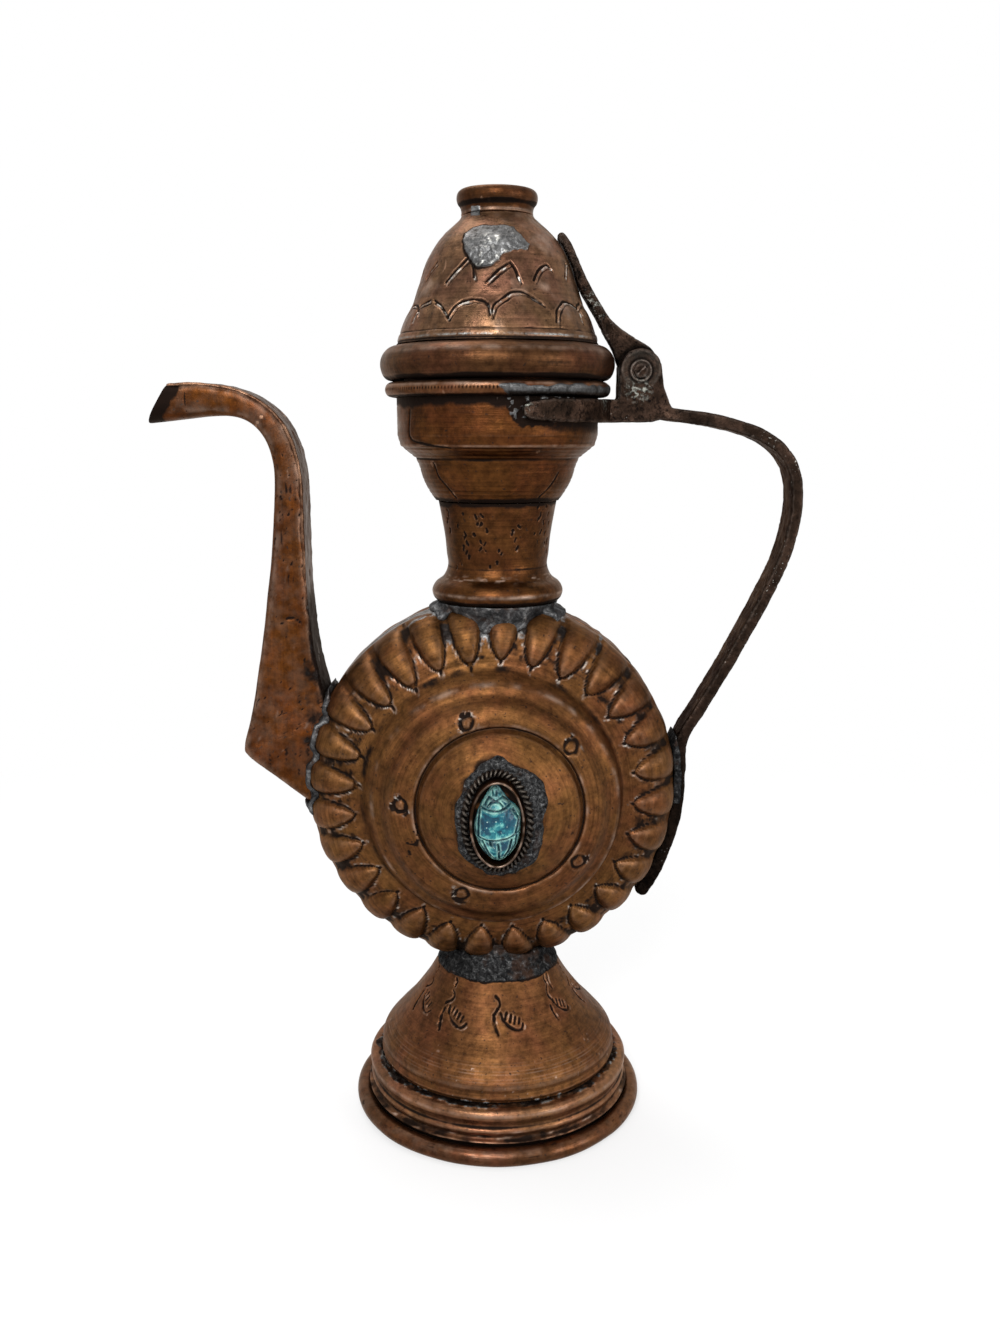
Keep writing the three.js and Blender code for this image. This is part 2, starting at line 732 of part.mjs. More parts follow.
// An oval in the plane of the belly's face, narrowed towards its upper end by a share.
function ovalRing(halfWidth, halfHeight, depth, headShare = 0) {
  return Array.from({ length: settingFlats }, (_, i) => {
    const turn = (i * 2 * Math.PI) / settingFlats;
    const narrowing = 1 - headShare * Math.max(Math.sin(turn), 0) ** 2;
    return [
      settingCentre + halfWidth * Math.cos(turn) * narrowing,
      -depth,
      bellyHeight + halfHeight * Math.sin(turn),
    ];
  });
}

const scarabLevelShares = [[1, 0], [1, 0.5], [0.9, 0.72], [0.66, 0.9], [0.32, 0.98]];
const scarabRings = scarabLevelShares.map(([size, level]) => ovalRing(
  (scarabWidth / 2) * size,
  (scarabHeight / 2) * size,
  THREE.MathUtils.lerp(scarabBaseDepth, scarabTopDepth, level),
  scarabHeadShare,
));
const scarabBase = [[settingCentre, -scarabBaseDepth, bellyHeight]];
const scarabTip = [[settingCentre, -scarabTopDepth, bellyHeight]];
const scarabBlank = ringSurface([scarabBase, ...scarabRings, scarabTip]);
const wingLine = box(
  settingCentre - scarabGroove / 2,
  settingCentre + scarabGroove / 2,
  -scarabTopDepth - overrun,
  scarabGroove - scarabTopDepth,
  bellyHeight - scarabHeight,
  bellyHeight,
);
const chestLine = box(
  -scarabWidth,
  scarabWidth,
  -scarabTopDepth - overrun,
  scarabGroove - scarabTopDepth,
  bellyHeight,
  bellyHeight + scarabGroove,
);
const headLineSinkShare = 2;
const headLineRiseShare = 0.25;
const headLine = chestLine.translate([0, scarabGroove * headLineSinkShare, scarabHeight * headLineRiseShare]);
const scarabSeated = scarabBlank.subtract(bellyTight);
const scarab = scarabSeated.subtract(wingLine).subtract(chestLine).subtract(headLine);
addPiece(body, "scarab", scarab, faience);

// An upright oval band round the stone, trimmed to the dome.
function ovalBand(innerMargin, outerMargin, baseDepth, topDepth) {
  const ring = (margin, depth) => ovalRing(scarabWidth / 2 + margin, scarabHeight / 2 + margin, depth);
  return ringSurface([
    ring(innerMargin, baseDepth),
    ring(innerMargin, topDepth),
    ring(outerMargin, topDepth),
    ring(outerMargin, baseDepth),
  ], true);
}

const bezelInner = gap;
const bezelOuter = bezelInner + bezelThickness;
const bezelTop = bellyDepth + bezelHeight;
const bezel = ovalBand(bezelInner, bezelOuter, scarabBaseDepth - wall, bezelTop).subtract(bellyTight);
addPiece(body, "scarab_bezel", bezel, copper);

// The wire round the bezel's foot: a flat section that turns as it goes, one turn a twist.
const ropeSectionShares = [[1, 0], [0, 0.6], [-1, 0], [0, -0.6]];
const ropeStationsPerTwist = 4;
const ropeStandShare = 1.25;
const ropeMargin = bezelOuter + gap + ropeRadius;

function ropeRing(station, stations) {
  const turn = (station * 2 * Math.PI) / stations;
  const x = (scarabWidth / 2 + ropeMargin) * Math.cos(turn);
  const z = (scarabHeight / 2 + ropeMargin) * Math.sin(turn);
  const run = Math.hypot(x, z);
  const depth = domeDepthAt(run) + gap + ropeRadius * ropeStandShare;
  const twist = (station * Math.PI) / ropeStationsPerTwist;
  return ropeSectionShares.map(([long, short]) => {
    const out = ropeRadius * (long * Math.cos(twist) - short * Math.sin(twist));
    const up = ropeRadius * (long * Math.sin(twist) + short * Math.cos(twist));
    return [settingCentre + x + (x / run) * out, -(depth + up), bellyHeight + z + (z / run) * out];
  });
}

const ropeStations = ropeTwistCount * ropeStationsPerTwist;
const rope = ringSurface(Array.from({ length: ropeStations }, (_, i) => ropeRing(i, ropeStations)), true);
addPiece(body, "bezel_rope", rope, copper);

// Solder spread over the dome round the wire, laid on the belly's face.
const solderInner = bezelOuter + gap + 2 * ropeRadius + gap;
const solderDepth = bellyDepth + solderThickness;
const spread = ovalBand(solderInner, solderInner + bezelSolderWidth, innerDomeDepth, solderDepth);
const bezelSolderFace = bellyForm(bezelSolderThickness);
addPiece(body, "bezel_solder", spread.intersect(bezelSolderFace).subtract(bellyTight), solder);

// Handle. The strap's middle line runs from the hinge block out and down in shares of its reach
// and its drop to the belly's centre, then in to the belly and round it in turns of degrees.
const handleDrop = (yokeTop + yokeBottom) / 2 - bellyHeight;
const handleRunShares = [
  [0.455, 1],
  [0.572, 0.991],
  [0.709, 0.975],
  [0.837, 0.946],
  [0.924, 0.902],
  [0.97, 0.841],
  [0.982, 0.763],
  [0.969, 0.679],
  [0.939, 0.598],
  [0.884, 0.499],
  [0.821, 0.4],
];
const handleFallShares = [[1.25, 0.602], [1.138, 0.406]];
const handleHugAngles = [13, 3, -9, -21, -31, -39];
const handleStandoffShares = [0.55, 0, 0, 0, 0.35, 0.75];
const handleThicknessShares = [1, 1, 0.95, 0.95, 0.95, 0.95, 0.98, 0.9, 0.7];
const handleWidthShares = [1, 1, 1, 1, 0.98, 0.92, 0.86, 0.8, 0.62];

const hugThicknessShare = 1;
const hugRadius = bellyRadius + gap + (handleThickness * hugThicknessShare) / 2;
const handleMiddle = [
  ...handleRunShares.map(([out, up]) => [handleReach * out, bellyHeight + handleDrop * up]),
  ...handleFallShares.map(([out, up]) => [
    bellyCentre[0] + bellyRadius * out,
    bellyHeight + bellyRadius * up,
  ]),
  ...handleHugAngles.map((angle, i) => {
    const turn = THREE.MathUtils.degToRad(angle);
    const radius = hugRadius + handleThickness * handleStandoffShares[i];
    return [bellyCentre[0] + radius * Math.cos(turn), bellyHeight + radius * Math.sin(turn)];
  }),
];

// The strap with its edges eased, grown on every side by a margin.
function strapSections(margin) {
  const middle = new THREE.SplineCurve(handleMiddle.map(([x, z]) => new THREE.Vector2(x, z)));
  return Array.from({ length: handleStationCount }, (_, i) => {
    const along = i / (handleStationCount - 1);
    const at = middle.getPoint(along);
    const run = middle.getTangent(along);
    const half = (handleThickness * shareAt(handleThicknessShares, along)) / 2 + margin;
    const halfWidth = (handleWidth * shareAt(handleWidthShares, along)) / 2 + margin;
    const outline = easedRectangle(half, halfWidth, handleEdge);
    const points = outline.map(([u, v]) => [at.x + run.y * u, v, at.y - run.x * u]);
    return { outline, points };
  });
}

function easedRectangle(halfAcross, halfDeep, edge) {
  return [
    [halfAcross - edge, -halfDeep],
    [halfAcross, edge - halfDeep],
    [halfAcross, halfDeep - edge],
    [halfAcross - edge, halfDeep],
    [edge - halfAcross, halfDeep],
    [-halfAcross, halfDeep - edge],
    [-halfAcross, edge - halfDeep],
    [edge - halfAcross, -halfDeep],
  ];
}

const strap = loft(strapSections(0));
const strapTight = loft(strapSections(gap));
const strapWide = loft(strapSections(handleSolderWidth));

// The yoke: a half ring that hugs the cup below its rim.
const yokeInner = cupRadius + gap;
const yokeOuter = yokeInner + yokeThickness;
const yokeTurn = THREE.MathUtils.degToRad(yokeSpreadAngle);
const yokeShape = new THREE.Shape();
yokeShape.absarc(0, 0, yokeOuter, -yokeTurn, yokeTurn, false);
yokeShape.absarc(0, 0, yokeInner, yokeTurn, -yokeTurn, true);
const yokeSettings = { depth: yokeHeight, bevelEnabled: false, curveSegments: yokeFlats };
const yoke = solidOf(new THREE.ExtrudeGeometry(yokeShape, yokeSettings).translate(0, 0, yokeBottom));

// The hinge block with its two ears, slotted for the lid's knuckle.
const blockStart = (yokeInner + yokeOuter) / 2;
const earShape = new THREE.Shape();
earShape.moveTo(blockStart, yokeBottom);
earShape.lineTo(blockReach, yokeBottom);
earShape.lineTo(blockReach, yokeTop);
earShape.absarc(hingeReach, hingeHeight, earRadius, 0, Math.PI, false);
earShape.lineTo(hingeReach - earRadius, yokeTop);
earShape.lineTo(blockStart, yokeTop);
const slotHalf = knuckleWidth / 2 + gap;
const slot = box(blockStart, blockReach + overrun, -slotHalf, slotHalf, yokeTop, hingeHeight + 2 * earRadius);
const pinHole = hingeBar(pinRadius + gap, handleWidth + overrun);
const block = platedShape(earShape, handleWidth, earFlats).subtract(slot).subtract(pinHole);
addPiece(body, "handle", strap.add(yoke).add(block), darkMetal);

// Solder in the fork where the strap leaves the belly, and along both edges of the strap there.
const handleSolderFace = bellyForm(handleSolderThickness);
const forkTopShare = 0.5;
const forkFootShare = 0.12;
const forkTop = bellyHeight + bellyRadius * forkTopShare;
const forkBottom = bellyHeight - bellyRadius * forkFootShare;
const forkBox = box(0, handleReach, -handleWidth, handleWidth, forkBottom, forkTop);
const forkBlank = strapWide.intersect(handleSolderFace).intersect(forkBox);
addPiece(body, "handle_solder", forkBlank.subtract(bellyTight).subtract(strapTight), solder);

// The pin, turned along Y, with a head riveted over at each ear.
const pinHalf = handleWidth / 2 + gap;
const pinShares = [[0, 1], [0.75, 1], [1, 0.4], [1, 0]];
const pinEnd = pinShares.map(([across, up]) => [pinHeadRadius * across, pinHalf + pinHeadHeight * up]);
const pinOutline = [
  ...pinEnd.map(([radius, height]) => [radius, -height]),
  [pinRadius, -pinHalf],
  [pinRadius, pinHalf],
  ...pinEnd.reverse(),
];
const pinPoints = pinOutline.map(([radius, height]) => new THREE.Vector2(radius, height));
const pinTurned = new THREE.LatheGeometry(pinPoints, smallFlats).translate(hingeReach, 0, hingeHeight);
addPiece(body, "hinge_pin", solidOf(pinTurned), darkMetal);

// Lid
const lidRimShares = [
  [0.15, 0],
  [0.66, 0],
  [0.92, 0.2],
  [1, 0.48],
  [0.88, 0.76],
  [0.6, 0.94],
  [0.28, 1],
  [0, 1],
  [0, 0.2],
];
const lidRimInner = cupRadius - wall - flangeClearance + gap;
const lidRim = profileOf(lidRimShares, lidRimInner, lidRimRadius, lidRimBottom, lidRimHeight);
addPiece(lid, "lid_rim_bead", revolve(lidRim), copper);

const flangeRadius = lidRimInner - gap;
const flangeBottom = lidRimBottom - flangeDepth;
const flangeTop = lidRimTop - wall;
const flange = revolve([
  [flangeRadius - wall, flangeBottom],
  [flangeRadius, flangeBottom],
  [flangeRadius, flangeTop],
  [flangeRadius - wall, flangeTop],
]);
addPiece(lid, "lid_flange", flange, copper);

const domeShares = [
  [1, 0],
  [0.94, 0.104],
  [0.87, 0.211],
  [0.76, 0.315],
  [0.67, 0.44],
  [0.595, 0.558],
  [0.5, 0.688],
  [0.39, 0.785],
  [0.24, 0.874],
  [0.054, 0.962],
  [0, 1],
];
const domeOutline = profileOf(domeShares, knobNeckRadius, lidDomeRadius, lidDomeBottom, lidDomeHeight);
addPiece(lid, "lid_dome", turnedSheet(domeOutline, [0, 3, 6, 8, 10]), copper);

const knobShares = [[0, 0], [0.9, 0], [0.91, 0.28], [0.99, 0.45], [1, 0.7], [0.93, 0.92], [0.78, 1], [0, 1]];
const knobOutline = profileOf(knobShares, 0, knobRadius, knobBottom, knobHeight);
addPiece(lid, "lid_knob", revolve(knobOutline, smallFlats), copper);

// The arm lies on the dome, leaves it and flares into the knuckle. Its first edge is the outer
// one. The part on the dome is in shares of the dome's height, standing off its face, and the
// free part is in shares of the run from the hinge up to the dome.
const armOnDomeShares = [0.83, 0.745, 0.655, 0.555, 0.45];
const armRestThicknessShares = [0.85, 0.8, 0.8, 0.88, 1.08];
const armReachShares = [0.29, 0.195, 0.09, 0.22, 0.44];
const domeCurve = domeOutline.map(([radius, height]) => new THREE.Vector2(radius, height));

// The dome's outer radius and slope at a height.
function domeAt(height) {
  const upper = domeCurve.findIndex((point) => point.y > height);
  const [a, b] = [domeCurve[upper - 1], domeCurve[upper]];
  const along = (height - a.y) / (b.y - a.y);
  const direction = b.clone().sub(a).normalize();
  return { foot: a.clone().lerp(b, along), outwards: new THREE.Vector2(direction.y, -direction.x) };
}

const armRest = armOnDomeShares.map((share) => domeAt(lidDomeBottom + lidDomeHeight * share));
const armStandoffShare = 1.3;
const armRestAt = (distances) => armRest.map(({ foot, outwards }, i) => (
  foot.clone().addScaledVector(outwards, distances[i])
));
const armStandoffs = armRest.map(() => gap * armStandoffShare);
const armRestInner = armRestAt(armStandoffs);
const armRestOuter = armRestAt(armStandoffs.map((off, i) => off + armThickness * armRestThicknessShares[i]));
const armLeave = armRestInner[armRestInner.length - 1];
const heelShares = [
  [0.847, 0.8, 0.692, 0.862],
  [0.705, 0.624, 0.445, 0.6],
  [0.575, 0.429, 0.074, 0.395],
  [0.445, 0.257, -0.216, 0.248],
];
const heelRun = hingeReach - armLeave.x;
const heelRise = armLeave.y - hingeHeight;
const heelPoint = (out, up) => [hingeReach - heelRun * out, hingeHeight + heelRise * up];
const armOuter = [
  ...armRestOuter.map((point) => [point.x, point.y]),
  ...heelShares.map((pair) => heelPoint(pair[2], pair[3])),
  [hingeReach + earRadius, hingeHeight],
];
const armInner = [
  ...armRestInner.map((point) => [point.x, point.y]),
  ...heelShares.map((pair) => heelPoint(pair[0], pair[1])),
  [hingeReach - earRadius, hingeHeight],
];
const armWidthShares = [1, 1, 1, 1, 0.95, 0.85, 0.72, 0.63, 0.63, 0.63];
const armOutline = (width, along) => {
  const half = (armWidth * shareAt(armWidthShares, along)) / 2;
  return [[0, -half], [width, -half], [width, half], [0, half]];
};
const armStrip = loft(stripSections(armInner, armOuter, armStationCount, armOutline));
const knuckle = hingeBar(earRadius, knuckleWidth);
addPiece(lid, "lid_arm", armStrip.add(knuckle).subtract(pinHole), darkMetal);

// The origin lies under the middle of the pot's box, between the spout's lip and the handle.
pot.position.x = (spoutReach - handleReach) / 2;

export default pot;
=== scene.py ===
import functools
import math

import bpy
import numpy as np
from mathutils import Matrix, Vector


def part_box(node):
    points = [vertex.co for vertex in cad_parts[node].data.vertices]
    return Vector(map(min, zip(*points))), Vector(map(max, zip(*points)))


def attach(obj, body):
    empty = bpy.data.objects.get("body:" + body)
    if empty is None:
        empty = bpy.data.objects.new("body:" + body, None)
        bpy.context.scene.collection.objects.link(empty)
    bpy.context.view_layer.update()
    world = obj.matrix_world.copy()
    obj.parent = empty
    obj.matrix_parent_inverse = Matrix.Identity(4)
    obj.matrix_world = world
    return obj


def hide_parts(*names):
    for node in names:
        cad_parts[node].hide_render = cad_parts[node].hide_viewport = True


# The looks of a small copper coffee pot: turned and stamped copper with a brown patina, dark cast
# fittings, grey solder and a glazed scarab. Sizes are in millimetres until a mesh is made.

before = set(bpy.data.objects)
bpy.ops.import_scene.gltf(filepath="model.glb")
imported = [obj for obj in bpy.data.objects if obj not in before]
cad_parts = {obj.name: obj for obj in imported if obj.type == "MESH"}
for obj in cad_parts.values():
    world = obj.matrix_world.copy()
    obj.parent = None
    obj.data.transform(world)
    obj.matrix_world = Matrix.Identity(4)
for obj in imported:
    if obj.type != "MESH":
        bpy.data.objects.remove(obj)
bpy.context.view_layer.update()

MM = 0.001
TINY = 1e-12
FRONT = -math.pi / 2


def box_mm(node):
    """A solid's low and high corners in millimetres."""
    low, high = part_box(node)
    return np.array(low) / MM, np.array(high) / MM


RIM_LOW, RIM_HIGH = box_mm("foot_rim_ring")
AXIS_X = (RIM_LOW[0] + RIM_HIGH[0]) / 2

# Sizes shared with the solids
WALL = 1.2
GAP = 0.3
FOOT_RIM_RADIUS = 38.45
FOOT_RIM_HEIGHT = 4.9
BELL_BOTTOM = 14.7
BELL_TOP = 43.0
BELLY_RADIUS = 50
BELLY_X = AXIS_X - 1.7
BELLY_Z = 95.1
BELLY_RIM_DEPTH = 5.5
SEAM_EDGE = 0.8
PETAL_TIP_RADIUS = 36.7
PETAL_TIP_DEPTH = 17.3
PETAL_RISE = 1.9
PETAL_COUNT = 28
PETAL_TURN_SHARE = 0.68
PLATEAU_RADIUS = 33.8
PLATEAU_DEPTH = 21.4
GROOVE_RADIUS = 21.7
GROOVE_DEPTH = 0.7
INNER_DOME_DEPTH = 28.2
BELLY_DEPTH = 36.6
SETTING_X = AXIS_X
SETTING_Z = BELLY_Z - 1.1
SCARAB_WIDTH = 11.6
SCARAB_HEIGHT = 20.3
SCARAB_THICKNESS = 4.4
NECK_BOTTOM = 145.5
NECK_TOP = 171.9
CUP_BOTTOM = 172.2
CUP_TOP = 198.4
CUP_RIM_BOTTOM = 198.7
LID_RIM_BOTTOM = 203.5
DOME_BOTTOM = 212.0
DOME_TOP = 243.7
KNOB_BOTTOM = 244.0
HINGE_X = AXIS_X + 37
HINGE_Z = 205.4
EAR_RADIUS = 5.5
YOKE_BOTTOM = 192.3
YOKE_TOP = 198.1
HANDLE_REACH = 80.4
HANDLE_WIDTH = 11
HANDLE_THICKNESS = 3.3
SPOUT_OVERHANG = 38.6
SPOUT_RISE = 107.2
SPOUT_DEPTH = 18
CUP_RADIUS = 26.4

# The photograph's camera
CAMERA_X = 5.62
CAMERA_Y = -323.17
CAMERA_Z = 191.67
CAMERA_PITCH = 11.29
FOCAL_PIXELS = 1200
FRAME_HEIGHT_PIXELS = 1329
SENSOR = 36


# Noise and curves

HASH_PRIMES = (73856093, 19349663, 83492791)
HASH_SEED = 2654435761
HASH_MIX = 1274126177
HASH_BITS = 0x7FFFFFFF


def lattice_noise(points, cell, seed):
    """Smooth noise from -1 to 1 at points in millimetres, with features one cell across."""
    grid = points / cell
    base = np.floor(grid).astype(np.int64)
    part = grid - base
    part = part * part * (3 - 2 * part)
    total = np.zeros(len(points))
    for corner in np.ndindex(2, 2, 2):
        key, weight = seed * HASH_SEED, 1
        for axis, step in enumerate(corner):
            key = key ^ (base[:, axis] + step) * HASH_PRIMES[axis]
            weight = weight * (part[:, axis] if step else 1 - part[:, axis])
        key = (key ^ (key >> 13)) * HASH_MIX
        key = (key ^ (key >> 16)) & HASH_BITS
        total += weight * (key / (HASH_BITS // 2) - 1)
    return total


def rough_noise(points, cell, octaves, seed):
    """Noise on noise, each octave half as wide and half as strong as the one before."""
    return sum(lattice_noise(points, cell / 2 ** i, seed + i) / 2 ** i for i in range(octaves))


def step_up(value, low, high):
    """0 below low, 1 above high and smooth between."""
    share = np.clip((value - low) / (high - low), 0, 1)
    return share * share * (3 - 2 * share)


def step_down(value, low, high):
    """1 below low, 0 above high and smooth between."""
    return step_up(-value, -high, -low)


def peak(value, place, width):
    """1 at a place, falling off smoothly on both sides."""
    return np.exp(-((value - place) / width) ** 2)


def most(*values):
    """The greatest of some values, point by point."""
    return functools.reduce(np.maximum, values)


def full_turn(count):
    return np.linspace(0, 2 * np.pi, count, endpoint=False)


def circle(x, y, radius, turns):
    return [[x + radius * math.cos(turn), y + radius * math.sin(turn)] for turn in turns]


def smooth_line(points, steps=10):
    """A curve through the points."""
    p = np.array(points, float)
    p = np.vstack([2 * p[0] - p[1], p, 2 * p[-1] - p[-2]])
    t = np.linspace(0, 1, steps, endpoint=False)[:, None]
    runs = []
    for i in range(1, len(p) - 2):
        a, b, c, d = p[i - 1:i + 3]
        bend = (2 * a - 5 * b + 4 * c - d) * t ** 2 + (3 * b - a - 3 * c + d) * t ** 3
        runs.append(0.5 * (2 * b + (c - a) * t + bend))
    return np.vstack([*runs, p[-2][None]])


def distances(line):
    """How far along a line each of its points lies."""
    return np.r_[0, np.cumsum(np.linalg.norm(np.diff(line, axis=0), axis=1))]


def line_at(line, known, places):
    """The points of a line at some places, from the known places of its own points."""
    return np.column_stack([np.interp(places, known, column) for column in line.T])


def even_line(points, spacing):
    """The line again with points an even distance apart."""
    line = np.array(points, float)
    known = distances(line)
    count = max(int(round(known[-1] / spacing)), 2) + 1
    return line_at(line, known, np.linspace(0, known[-1], count))


def resampled(shares, count):
    """Shares given at even steps, read off at some more of them."""
    return np.interp(np.linspace(0, 1, count), np.linspace(0, 1, len(shares)), shares)


def level_columns(columns):
    """1 at the columns of points at 45 and 225 degrees and 0 a few columns away. Neighbours there lie so
    level that the edge reading of the materials would find an edge that isn't there."""
    away = (np.arange(columns) / columns + 0.125) % 0.5 - 0.25
    return step_down(np.abs(away) * columns, 2.5, 6)


def shares_between(shares, low_radius, high_radius, bottom, top):
    return [[low_radius + a * (high_radius - low_radius), bottom + b * (top - bottom)] for a, b in shares]


def line_normals(line):
    """Unit normals on the right-hand side of a line of [radius, height] points that runs upwards."""
    along = np.gradient(line, axis=0)
    along /= np.linalg.norm(along, axis=1)[:, None] + TINY
    return np.column_stack([along[:, 1], -along[:, 0]])


def stroke_distance(x, y, strokes, reach=1.5):
    """Distance from each point to the nearest of some polylines, no more than the reach."""
    found = np.full(len(x), float(reach))
    for stroke in strokes:
        pts = np.array(stroke, float)
        low, high = pts.min(axis=0) - reach, pts.max(axis=0) + reach
        index = np.nonzero((x > low[0]) & (x < high[0]) & (y > low[1]) & (y < high[1]))[0]
        px, py = x[index], y[index]
        for (x0, y0), (x1, y1) in zip(pts[:-1], pts[1:]):
            dx, dy = x1 - x0, y1 - y0
            t = np.clip(((px - x0) * dx + (py - y0) * dy) / (dx * dx + dy * dy + TINY), 0, 1)
            found[index] = np.minimum(found[index], np.hypot(px - x0 - t * dx, py - y0 - t * dy))
    return found


def inside_distance(x, y, polygon):
    """Distance to a closed polygon's edge, positive inside it."""
    pts = np.array(polygon + [polygon[0]], float)
    distance = stroke_distance(x, y, [pts], reach=40)
    inside = np.zeros(len(x), bool)
    for (x0, y0), (x1, y1) in zip(pts[:-1], pts[1:]):
        inside ^= ((y0 > y) != (y1 > y)) & (x < (x1 - x0) * (y - y0) / (y1 - y0 + TINY) + x0)
    return np.where(inside, distance, -distance)


class Surface:
    """The points of a face before its relief, with noise, grime and strokes laid out on them."""

    def __init__(self, points, turn=0.0, radius=0.0, run=0.0):
        self.points, self.turn, self.radius, self.run = points, turn, radius, run
        self.height = points[:, 2]
        self.degrees = np.degrees((turn - FRONT + np.pi) % (2 * np.pi)) - 180

    def noise(self, cell, seed, stretch=(1, 1, 1)):
        return lattice_noise(self.points * stretch, cell, seed)

    def rough(self, cell, octaves, seed, stretch=(1, 1, 1)):
        return rough_noise(self.points * stretch, cell, octaves, seed)

    def dark_band(self, levels, width, amount=0.9, seed=5):
        """Dark bands round the piece at some heights, patchy as it goes: soiled joints in some places,
        painted shade in gaps and under overhangs in others.
        """
        patchy = 0.75 + 0.45 * self.rough(7, 3, seed)
        return most(0, *[peak(self.height, level, width) * amount * patchy for level in levels])

    def around(self, turn):
        """Millimetres round the face from a turn, to the right as seen from outside."""
        return ((self.turn - turn + np.pi) % (2 * np.pi) - np.pi) * self.radius

    def strokes(self, strokes, reference, repeats=1):
        """Distance to strokes given in degrees from the front and in millimetres along the profile. A
        degree is as long as on a circle of the reference radius."""
        size = math.radians(reference)
        laid = [[(angle * size, run) for angle, run in stroke] for stroke in strokes]
        aways = [(self.degrees - i * 360 / repeats + 180) % 360 - 180 for i in range(repeats)]
        return np.minimum.reduce([stroke_distance(away * size, self.run, laid) for away in aways])


# Meshes

def new_thing(name, data):
    thing = bpy.data.objects.new(name, data)
    bpy.context.scene.collection.objects.link(thing)
    return thing


def new_object(name, points, faces, marks=None):
    """A smooth-shaded mesh from points in millimetres, with named values on its points."""
    mesh = bpy.data.meshes.new(name)
    mesh.from_pydata((np.asarray(points) * MM).tolist(), [], faces)
    mesh.validate()
    mesh.shade_smooth()
    thing = new_thing(name, mesh)
    for key, values in (marks or {}).items():
        add_mark(thing, key, values)
    return thing


def add_mark(thing, key, values):
    layer = thing.data.attributes.new(key, "FLOAT", "POINT")
    layer.data.foreach_set("value", np.asarray(values, np.float32))


def ring_faces(rows, size, closed=True):
    """Quads round a stack of rings of points. A stack that isn't closed gets a face over each end."""
    a, b = np.meshgrid(np.arange(rows if closed else rows - 1), np.arange(size), indexing="ij")
    here, there = a * size, (a + 1) % rows * size
    after = (b + 1) % size
    faces = np.stack([here + b, here + after, there + after, there + b], axis=-1).reshape(-1, 4).tolist()
    if not closed:
        faces += [list(range(size))[::-1], list(range((rows - 1) * size, rows * size))]
    return faces


def ring_points(outline, columns):
    """[radius, place along the axis] pairs turned into rings: two ways across, and along, for each point."""
    turn = np.tile(full_turn(columns), len(outline))
    radius, along = np.repeat(np.array(outline, float), columns, axis=0).T
    return radius * np.cos(turn), radius * np.sin(turn), along


def dress(thing, body, material, node):
    """Gives a piece its body and its material, and hides the solid it stands for."""
    thing.data.materials.clear()
    thing.data.materials.append(material)
    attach(thing, body)
    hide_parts(node)


def turned_piece(name, outer, inner, columns, relief, seed, wobble=0.07):
    """A ring or vessel turned round the pot's axis, from its outer line upwards and its inner line
    downwards. The relief moves the outer face and marks it."""
    outline = np.vstack([outer, inner])
    rows = len(outline)
    turn = np.tile(full_turn(columns), rows)
    radius, height = np.repeat(outline, columns, axis=0).T
    normals = np.vstack([line_normals(outer), np.zeros_like(inner)])
    normal_r, normal_z = np.repeat(normals, columns, axis=0).T
    on_outer = np.repeat(np.arange(rows) < len(outer), columns)
    run = np.repeat(distances(outline), columns)
    face = Surface(np.column_stack(ring_points(outline, columns)), turn, radius, run)
    more, given = relief(face)
    lift = (wobble * face.noise(9, seed) + more) * on_outer
    marks = {key: np.clip(given.get(key, 0), 0, 1) * on_outer for key in ("grime_and_shade", "bright", "tin", "glare")}
    marks["level"] = np.tile(level_columns(columns), rows)
    radius = radius + normal_r * lift
    points = [AXIS_X + radius * np.cos(turn), radius * np.sin(turn), height + normal_z * lift]
    return new_object(name, np.column_stack(points), ring_faces(rows, columns), marks)


def inner_line(outer):
    """The inner face of turned sheet, from the top down."""
    inner = outer - line_normals(outer) * WALL
    inner[0, 1], inner[-1, 1] = outer[0, 1], outer[-1, 1]
    return even_line(inner[::-1], 3.0)


def mesh_points(thing):
    """A mesh's points in millimetres."""
    spots = np.zeros(len(thing.data.vertices) * 3)
    thing.data.vertices.foreach_get("co", spots)
    return spots.reshape(-1, 3) / MM


def move_points(thing, spots):
    thing.data.vertices.foreach_set("co", (spots * MM).ravel())


def remeshed(thing, voxel, wobble, cell, seed, fine=0.0, fine_cell=0.8):
    """A cast or flowed skin over a rough closed mesh: remeshed, eased and made uneven."""
    skin = thing.modifiers.new("skin", "REMESH")
    skin.mode = "VOXEL"
    skin.voxel_size = voxel * MM
    ease = thing.modifiers.new("ease", "SMOOTH")
    ease.factor = 0.5
    ease.iterations = 1
    graph = bpy.context.evaluated_depsgraph_get()
    mesh = bpy.data.meshes.new_from_object(thing.evaluated_get(graph))
    thing.modifiers.clear()
    thing.data = mesh
    spots = mesh_points(thing)
    normals = np.zeros(spots.size)
    mesh.vertex_normals.foreach_get("vector", normals)
    lift = wobble * rough_noise(spots, cell, 3, seed)
    lift -= fine * step_up(lattice_noise(spots, fine_cell, seed + 9), 0.25, 0.8)
    move_points(thing, spots + normals.reshape(-1, 3) * lift[:, None])
    mesh.shade_smooth()
    mesh.update()
    return thing


def cad_copy(name, node):
    """A loose copy of a solid's mesh."""
    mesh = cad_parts[node].data.copy()
    mesh.name = name
    mesh.materials.clear()
    return new_thing(name, mesh)


def join(things, name):
    with bpy.context.temp_override(active_object=things[0], selected_editable_objects=things):
        bpy.ops.object.join()
    things[0].name = name
    return things[0]


def swept(name, path, section_for):
    """A solid swept along a path of points with a frame each; section_for(i) gives [u, v] pairs."""
    rings = []
    for i, (point, across, deep) in enumerate(path):
        section = np.array(section_for(i), float)
        rings.append(point + section[:, :1] * across + section[:, 1:] * deep)
    return new_object(name, np.vstack(rings), ring_faces(len(rings), len(rings[0]), False))


